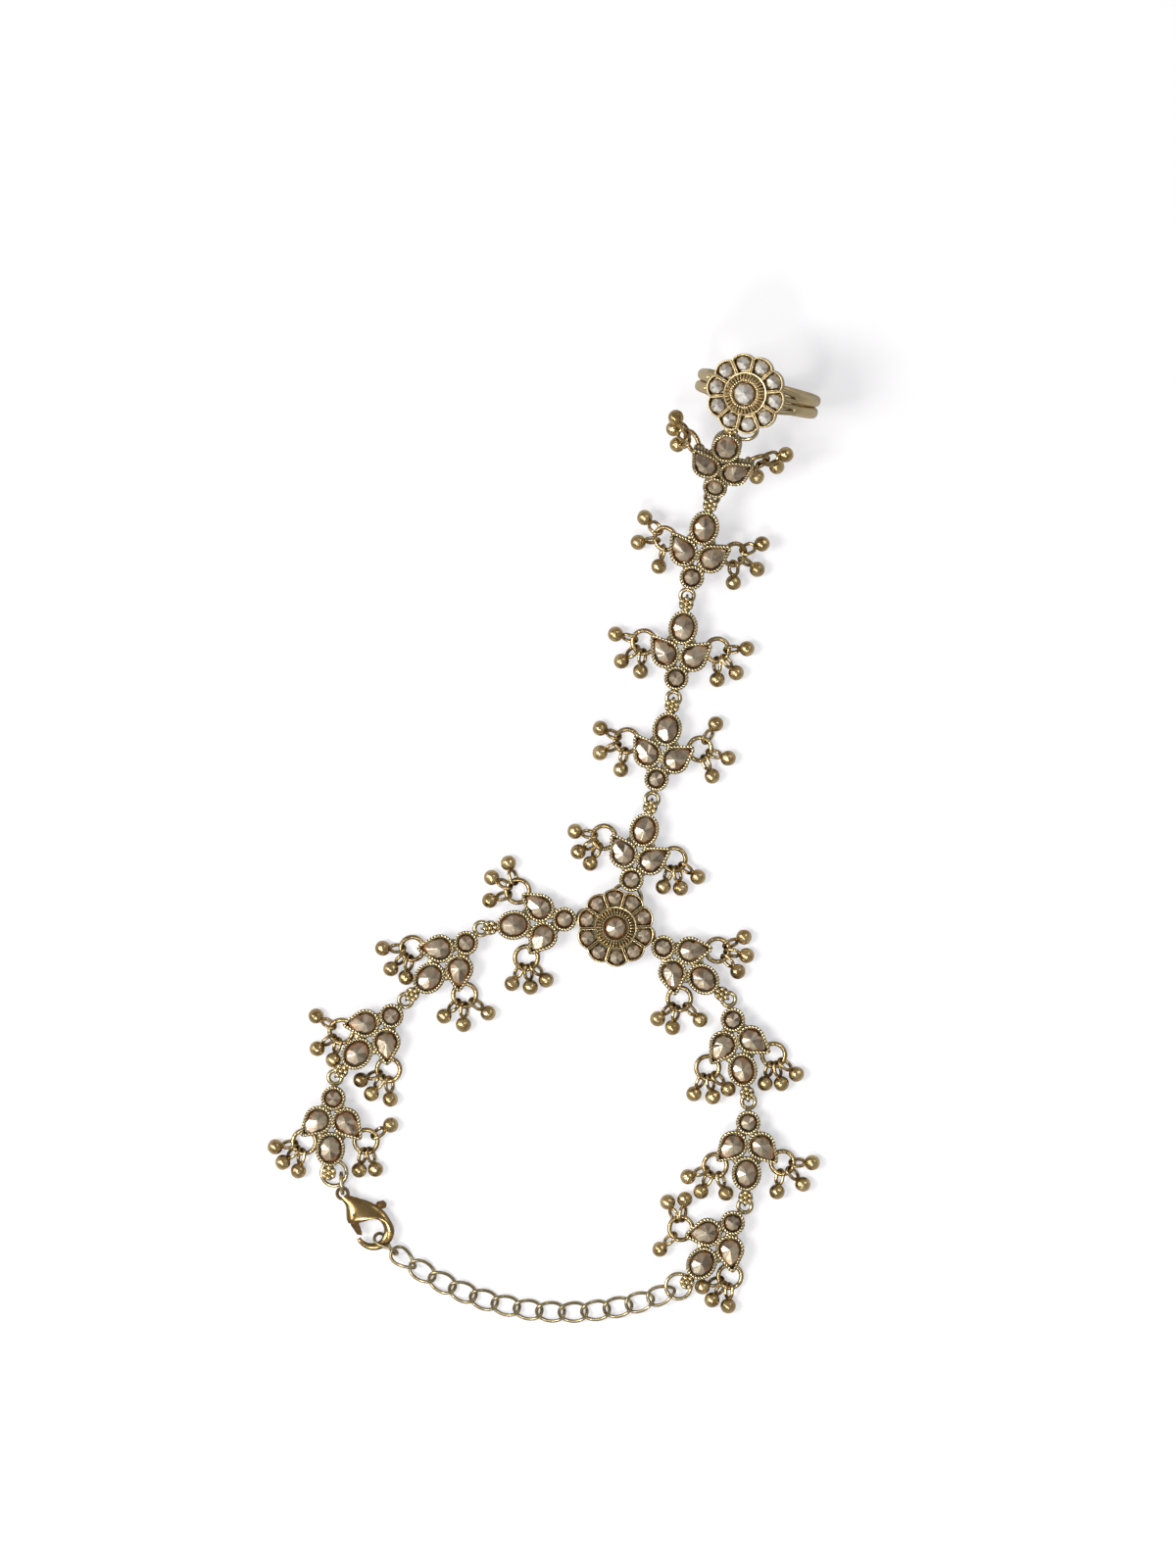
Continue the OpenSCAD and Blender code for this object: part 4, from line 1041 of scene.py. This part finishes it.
hold_point = end_ring_middle("finger") + end_ring_r * direction(ring_hold_turn, 0)
hold_point = frames["finger"][-1] @ np.append(hold_point, 1)
hold_local = (np.linalg.inv(ring_frame) @ hold_point)[:3]
hold = ring_frame @ shift(*hold_local) @ turn("Z", 90)
casting.add(staple_wires(ring_rosette_at - hold_local[2] + 0.2), hold, 0.35)
finger_ring = casting.piece("finger_ring_cast", brushed_gold())
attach(finger_ring, "root")
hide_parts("finger_ring")
clear_glass = foiled_glass("clear glass", (0.1, 0.07, 0.04), (0.95, 0.93, 0.88), (0.36, 0.22, 0.08))
ring_stones = ("ring_petal_stones", "ring_centre_stone")
add_rosette_stones(ring_rosette_frame, ring_stones, clear_glass)


# Five joining rings hold the chain to the rosettes, the clasp and the extender. Each is bent from
# round wire, plated like the links, and closed end to end, so that it shows a fine slit.
eye_ring_r = 1.625
eye_ring_wire = 0.55
eye_ring_az = 94
clasp_place = (-43.4, -42.3)
slit = 0.05


def jump_ring(radius, wire, slit_az):
    """Rings of a wire bent to a circle about Z whose two ends nearly meet."""
    gap = math.degrees(slit / radius)
    flat = circle_points(radius, 50, slit_az + gap / 2, 360 - gap)
    return tube(np.c_[flat, np.zeros(50)], wire / 2, 14, (0, 0, 1))


def end_ring_place(arm):
    """The frame of an arm's end ring, which lies flat to its last link."""
    return frames[arm][-1] @ shift(*end_ring_middle(arm))


upright = shift(*clasp_place, eye_ring_r + eye_ring_wire / 2) @ turn("Z", eye_ring_az) @ shift(eye_ring_r, 0)
joining_rings = {
    "hand_joint_ring": (frames["finger"][0] @ shift(0, 0, ring_plane_z), hand_ring_r, end_ring_wire, 120),
    "ring_joint_ring": (end_ring_place("finger"), end_ring_r, end_ring_wire, 200),
    "clasp_ring": (end_ring_place("left"), end_ring_r, end_ring_wire, 100),
    "chain_ring": (end_ring_place("right"), end_ring_r, end_ring_wire, 60),
    "clasp_eye_ring": (upright @ turn("X", 90), eye_ring_r, eye_ring_wire, 20),
}
for node, (matrix, radius, wire, slit_az) in joining_rings.items():
    casting = Casting()
    casting.add(jump_ring(radius, wire, slit_az), matrix, 0.25)
    joint = casting.piece(f"{node}_wire", gold)
    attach(joint, "root")
    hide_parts(node)


# The lobster clasp is a cast hook with a rounded, shiny back and an eye at its top. Its lever turns
# on a pin in a slot, closes the hook's mouth with its gate and has a thumb tab outside.
clasp_z = eye_ring_r + eye_ring_wire / 2 - 0.1
clasp_frame = shift(*clasp_place, clasp_z)
clasp_h = 2.2
lever_h = 0.8
lever_gap = 0.1
opening_centre = np.array([4.6, -5.9])
opening_r = 2
pivot = np.array([2, -3.4])
lever_tip = np.array([2.72, -6.62])
tab_place = np.array([6.45, -1.85])
lever_swing = 25
lever_boss_r = 0.95
pin_r = 0.4
# The slot on the gate's side ends at the mouth, so that the hook beyond it stays whole
gate_room = 2.8
# How far the slot opens before and after the swing, in degrees
gate_before = 68
gate_after = 28
tab_margin = 33
# Sections of the body from the eye round to the hook's tip: a point on its inner side, the point
# opposite on its outer side, and its thickness
clasp_sections = np.array([
    (-0.35, -0.80, 0.70, -0.10, 0.9), (0.10, -1.35, 1.50, -0.42, 1.2), (0.50, -2.00, 2.60, -0.70, 1.6),
    (0.58, -2.90, 3.75, -1.03, 2.0), (0.62, -3.90, 5.00, -1.55, 2.2), (0.95, -4.85, 6.10, -2.25, 2.2),
    (3.10, -4.55, 6.95, -3.10, 2.15), (4.10, -3.95, 7.50, -3.95, 2.0), (5.60, -4.15, 7.95, -4.80, 1.8),
    (6.35, -4.95, 8.20, -5.60, 1.55), (6.60, -5.90, 8.22, -6.40, 1.35), (6.40, -6.75, 7.85, -7.40, 1.2),
    (5.85, -7.50, 7.00, -8.35, 1.2), (5.00, -7.88, 5.75, -8.95, 1.2), (4.15, -7.85, 4.40, -9.00, 1.15),
    (3.45, -7.55, 3.25, -8.50, 1.05), (2.98, -7.15, 2.50, -7.75, 0.95), (2.90, -6.95, 2.30, -7.25, 0.7),
])


def smooth_stations(stations, count):
    """Stations resampled along their run by a Catmull-Rom curve through them."""
    padded = np.vstack([2 * stations[0] - stations[1], stations, 2 * stations[-1] - stations[-2]])
    at = np.linspace(0, len(stations) - 1 - 1e-6, count)
    k, t = at.astype(int), (at % 1)[:, None]
    a, b, c, d = (padded[k + step] for step in range(4))
    square, cube = 2 * a - 5 * b + 4 * c - d, 3 * b - a - 3 * c + d
    return 0.5 * (2 * b + (c - a) * t + square * t ** 2 + cube * t ** 3)


def clasp_rings(around=28):
    """A rounded section between the inner and the outer point of each station: cosine across and sine
    up, raised to a power below one."""
    rows = smooth_stations(clasp_sections, 90)
    inner, outer, height = rows[:, 0:2], rows[:, 2:4], rows[:, 4]
    side, rise = soft_round(around, 0.8)
    middle, reach = (inner + outer) / 2, (outer - inner) / 2
    flat = middle[:, None] + reach[:, None] * side[None, :, None]
    return np.concatenate([flat, (height[:, None] / 2 * rise)[:, :, None]], axis=2)


def sector(from_az, to_az, reach=7):
    """Corners of a sector about the pivot."""
    edges = [(from_az, reach), ((from_az + to_az) / 2, 1.3 * reach), (to_az, reach)]
    return np.array([pivot] + [pivot + length * direction(az, 0)[:2] for az, length in edges])


def prism(outline, low, high):
    """Rings of an upright prism."""
    outline = np.asarray(outline, float)
    return np.stack([np.c_[outline, np.full(len(outline), z)] for z in (low, high)])


def without(target, cutters):
    """Cuts each cutter out of the target's mesh and removes the cutters."""
    for cutter in cutters:
        cut = target.modifiers.new("slot", "BOOLEAN")
        cut.operation = "DIFFERENCE"
        cut.solver = "EXACT"
        cut.object = cutter
    solved = bpy.data.meshes.new_from_object(target.evaluated_get(bpy.context.evaluated_depsgraph_get()))
    target.modifiers.clear()
    target.data = solved
    for cutter in cutters:
        bpy.data.objects.remove(cutter)


def clasp_gold(name, worn, brown):
    """Shinier gold than the links', with worn orange and red-brown spots."""
    finish = Finish(name)
    patina = finish.noise(1.5, 4).within(0.3, 0.7)
    spots = finish.noise(2.4, 2).within(0.6, 0.72)
    colour = finish.mix(patina, worn, brown)
    finish.set("Base Color", finish.mix(0.7 * spots, colour, (0.45, 0.16, 0.05)))
    finish.set("Metallic", 1 - 0.3 * spots)
    finish.set("Roughness", 0.15 + 0.1 * patina + 0.2 * spots)
    finish.bump(finish.noise(0.8, 3), 0.02)
    return finish.material


shiny = clasp_gold("clasp gold", (0.42, 0.29, 0.125), (0.24, 0.15, 0.055))
gate_az = math.degrees(math.atan2(*(lever_tip - pivot)[::-1]))
tab_az = math.degrees(math.atan2(*(tab_place - pivot)[::-1]))
slot_half = lever_h / 2 + lever_gap
cutters = []
for name, outline in (
    ("room", circle_points(lever_boss_r + 1.5 * lever_gap, 40) + pivot),
    ("gate_side", sector(gate_az - gate_before, gate_az + lever_swing + gate_after, gate_room)),
    ("tab_side", sector(tab_az - tab_margin, tab_az + lever_swing + tab_margin)),
):
    block = Casting()
    block.add(prism(outline, -slot_half, slot_half), clasp_frame)
    cutters.append(block.piece(name, shiny))
casting = Casting()
casting.add(clasp_rings(), clasp_frame, 0.3)
clasp = casting.piece("clasp_body_cast", shiny, 40)
without(clasp, cutters)
eye_casting = Casting()
eye_mid_r, eye_half_w, eye_half_h = 0.875, 0.275, 0.5
eye_section = circle_points(1, 14) * (eye_half_w, eye_half_h)
eye_reach = eye_mid_r + eye_section[None, :, 0]
eye_turn = circle_points(1, 40)
eye_rings = np.stack([
    eye_reach * eye_turn[:, 0, None],
    eye_reach * eye_turn[:, 1, None],
    eye_section[None, :, 1] + 0 * eye_turn[:, 0, None],
], axis=2)
eye_casting.add(eye_rings, clasp_frame, 0.3, looped=True)
pin_end = clasp_h / 2 - 0.02
pin_profile = [
    (pin_r - 0.05, -pin_end), (pin_r, 0.08 - pin_end), (pin_r, pin_end - 0.08), (pin_r - 0.05, pin_end),
]
eye_casting.add(lathe(pin_profile, 24), clasp_frame @ shift(*pivot), 0.3)
eye = eye_casting.piece("clasp_eye_and_pin", shiny, 40)
for made in (clasp, eye):
    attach(made, "root")
    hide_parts("clasp_body")
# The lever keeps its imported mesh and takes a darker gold
lever_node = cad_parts["clasp_lever"]
lever_node.data.materials.clear()
lever_node.data.materials.append(clasp_gold("lever gold", (0.28, 0.17, 0.07), (0.13, 0.07, 0.026)))


# The extender chain has fourteen curb links of round wire, each twisted so that its neighbours pass
# through it. It lies on a wide arc from inside the clasp's hook to the right arm's end ring.
chain_count = 14
chain_pitch = 3.6
chain_link_l = 5
chain_link_w = 3.45
chain_wire = 0.53
chain_twist = 0.55
chain_half_l = (chain_link_l - chain_wire) / 2
chain_half_w = (chain_link_w - chain_wire) / 2
hook_reach = 1
ring_overlap = 1.2
chain_pull_az = 208


def link_curve(t):
    """The middle of a link's wire: an ellipse whose sides rise and fall as the sine of twice the angle."""
    along, aside = chain_half_l * np.cos(t), chain_half_w * np.sin(t)
    return np.stack([along, aside, -chain_twist * np.sin(2 * t)], axis=1)


def chain_roll(k):
    """A link's roll about its length, in degrees: steep in the hook, flat on the table, and turning
    again to take the flat ring at the far end."""
    if k < 3:
        return (-80, -40, -12)[k]
    return min(0, -10 * (k - chain_count + 4))


link_path = link_curve(2 * math.pi * np.arange(64) / 64)
chain_from = np.array(clasp_place) + opening_centre + (opening_r - hook_reach) * direction(-45, 0)[:2]
chain_end_middle = (frames["right"][-1] @ np.append(end_ring_middle("right"), 1))[:2]
chain_to = chain_end_middle + end_ring_r * direction(chain_pull_az, 0)[:2]
chain_length = 2 * chain_half_l + (chain_count - 1) * chain_pitch - ring_overlap
chord = np.linalg.norm(chain_to - chain_from)
chord_az = math.atan2(*(chain_to - chain_from)[::-1])
# Half of the arc's angle in radians, by halving: the chord is the sine's share of the arc's length
low, high = 0.01, 3.0
for _ in range(40):
    half_arc = (low + high) / 2
    too_straight = math.sin(half_arc) / half_arc > chord / chain_length
    low, high = (half_arc, high) if too_straight else (low, half_arc)
arc_r = chain_length / (2 * half_arc)
casting = Casting()
for k in range(chain_count):
    along = chain_half_l + k * chain_pitch
    az, az_start = chord_az - half_arc + along / arc_r, chord_az - half_arc
    step = (math.sin(az) - math.sin(az_start), math.cos(az_start) - math.cos(az))
    at = chain_from + arc_r * np.array(step)
    roll = turn("X", chain_roll(k))
    lowest = (link_path @ roll[:3, :3].T)[:, 2].min()
    height = clasp_z if k == 0 else chain_wire / 2 - lowest
    place = shift(*at, height) @ turn("Z", math.degrees(az)) @ roll
    casting.add(tube(link_path, chain_wire / 2, 12, (0, 0, 1), looped=True), place, 0.5, looped=True)
chain = casting.piece("extender_chain_wire", gold)
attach(chain, "root")
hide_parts("extender_chain")
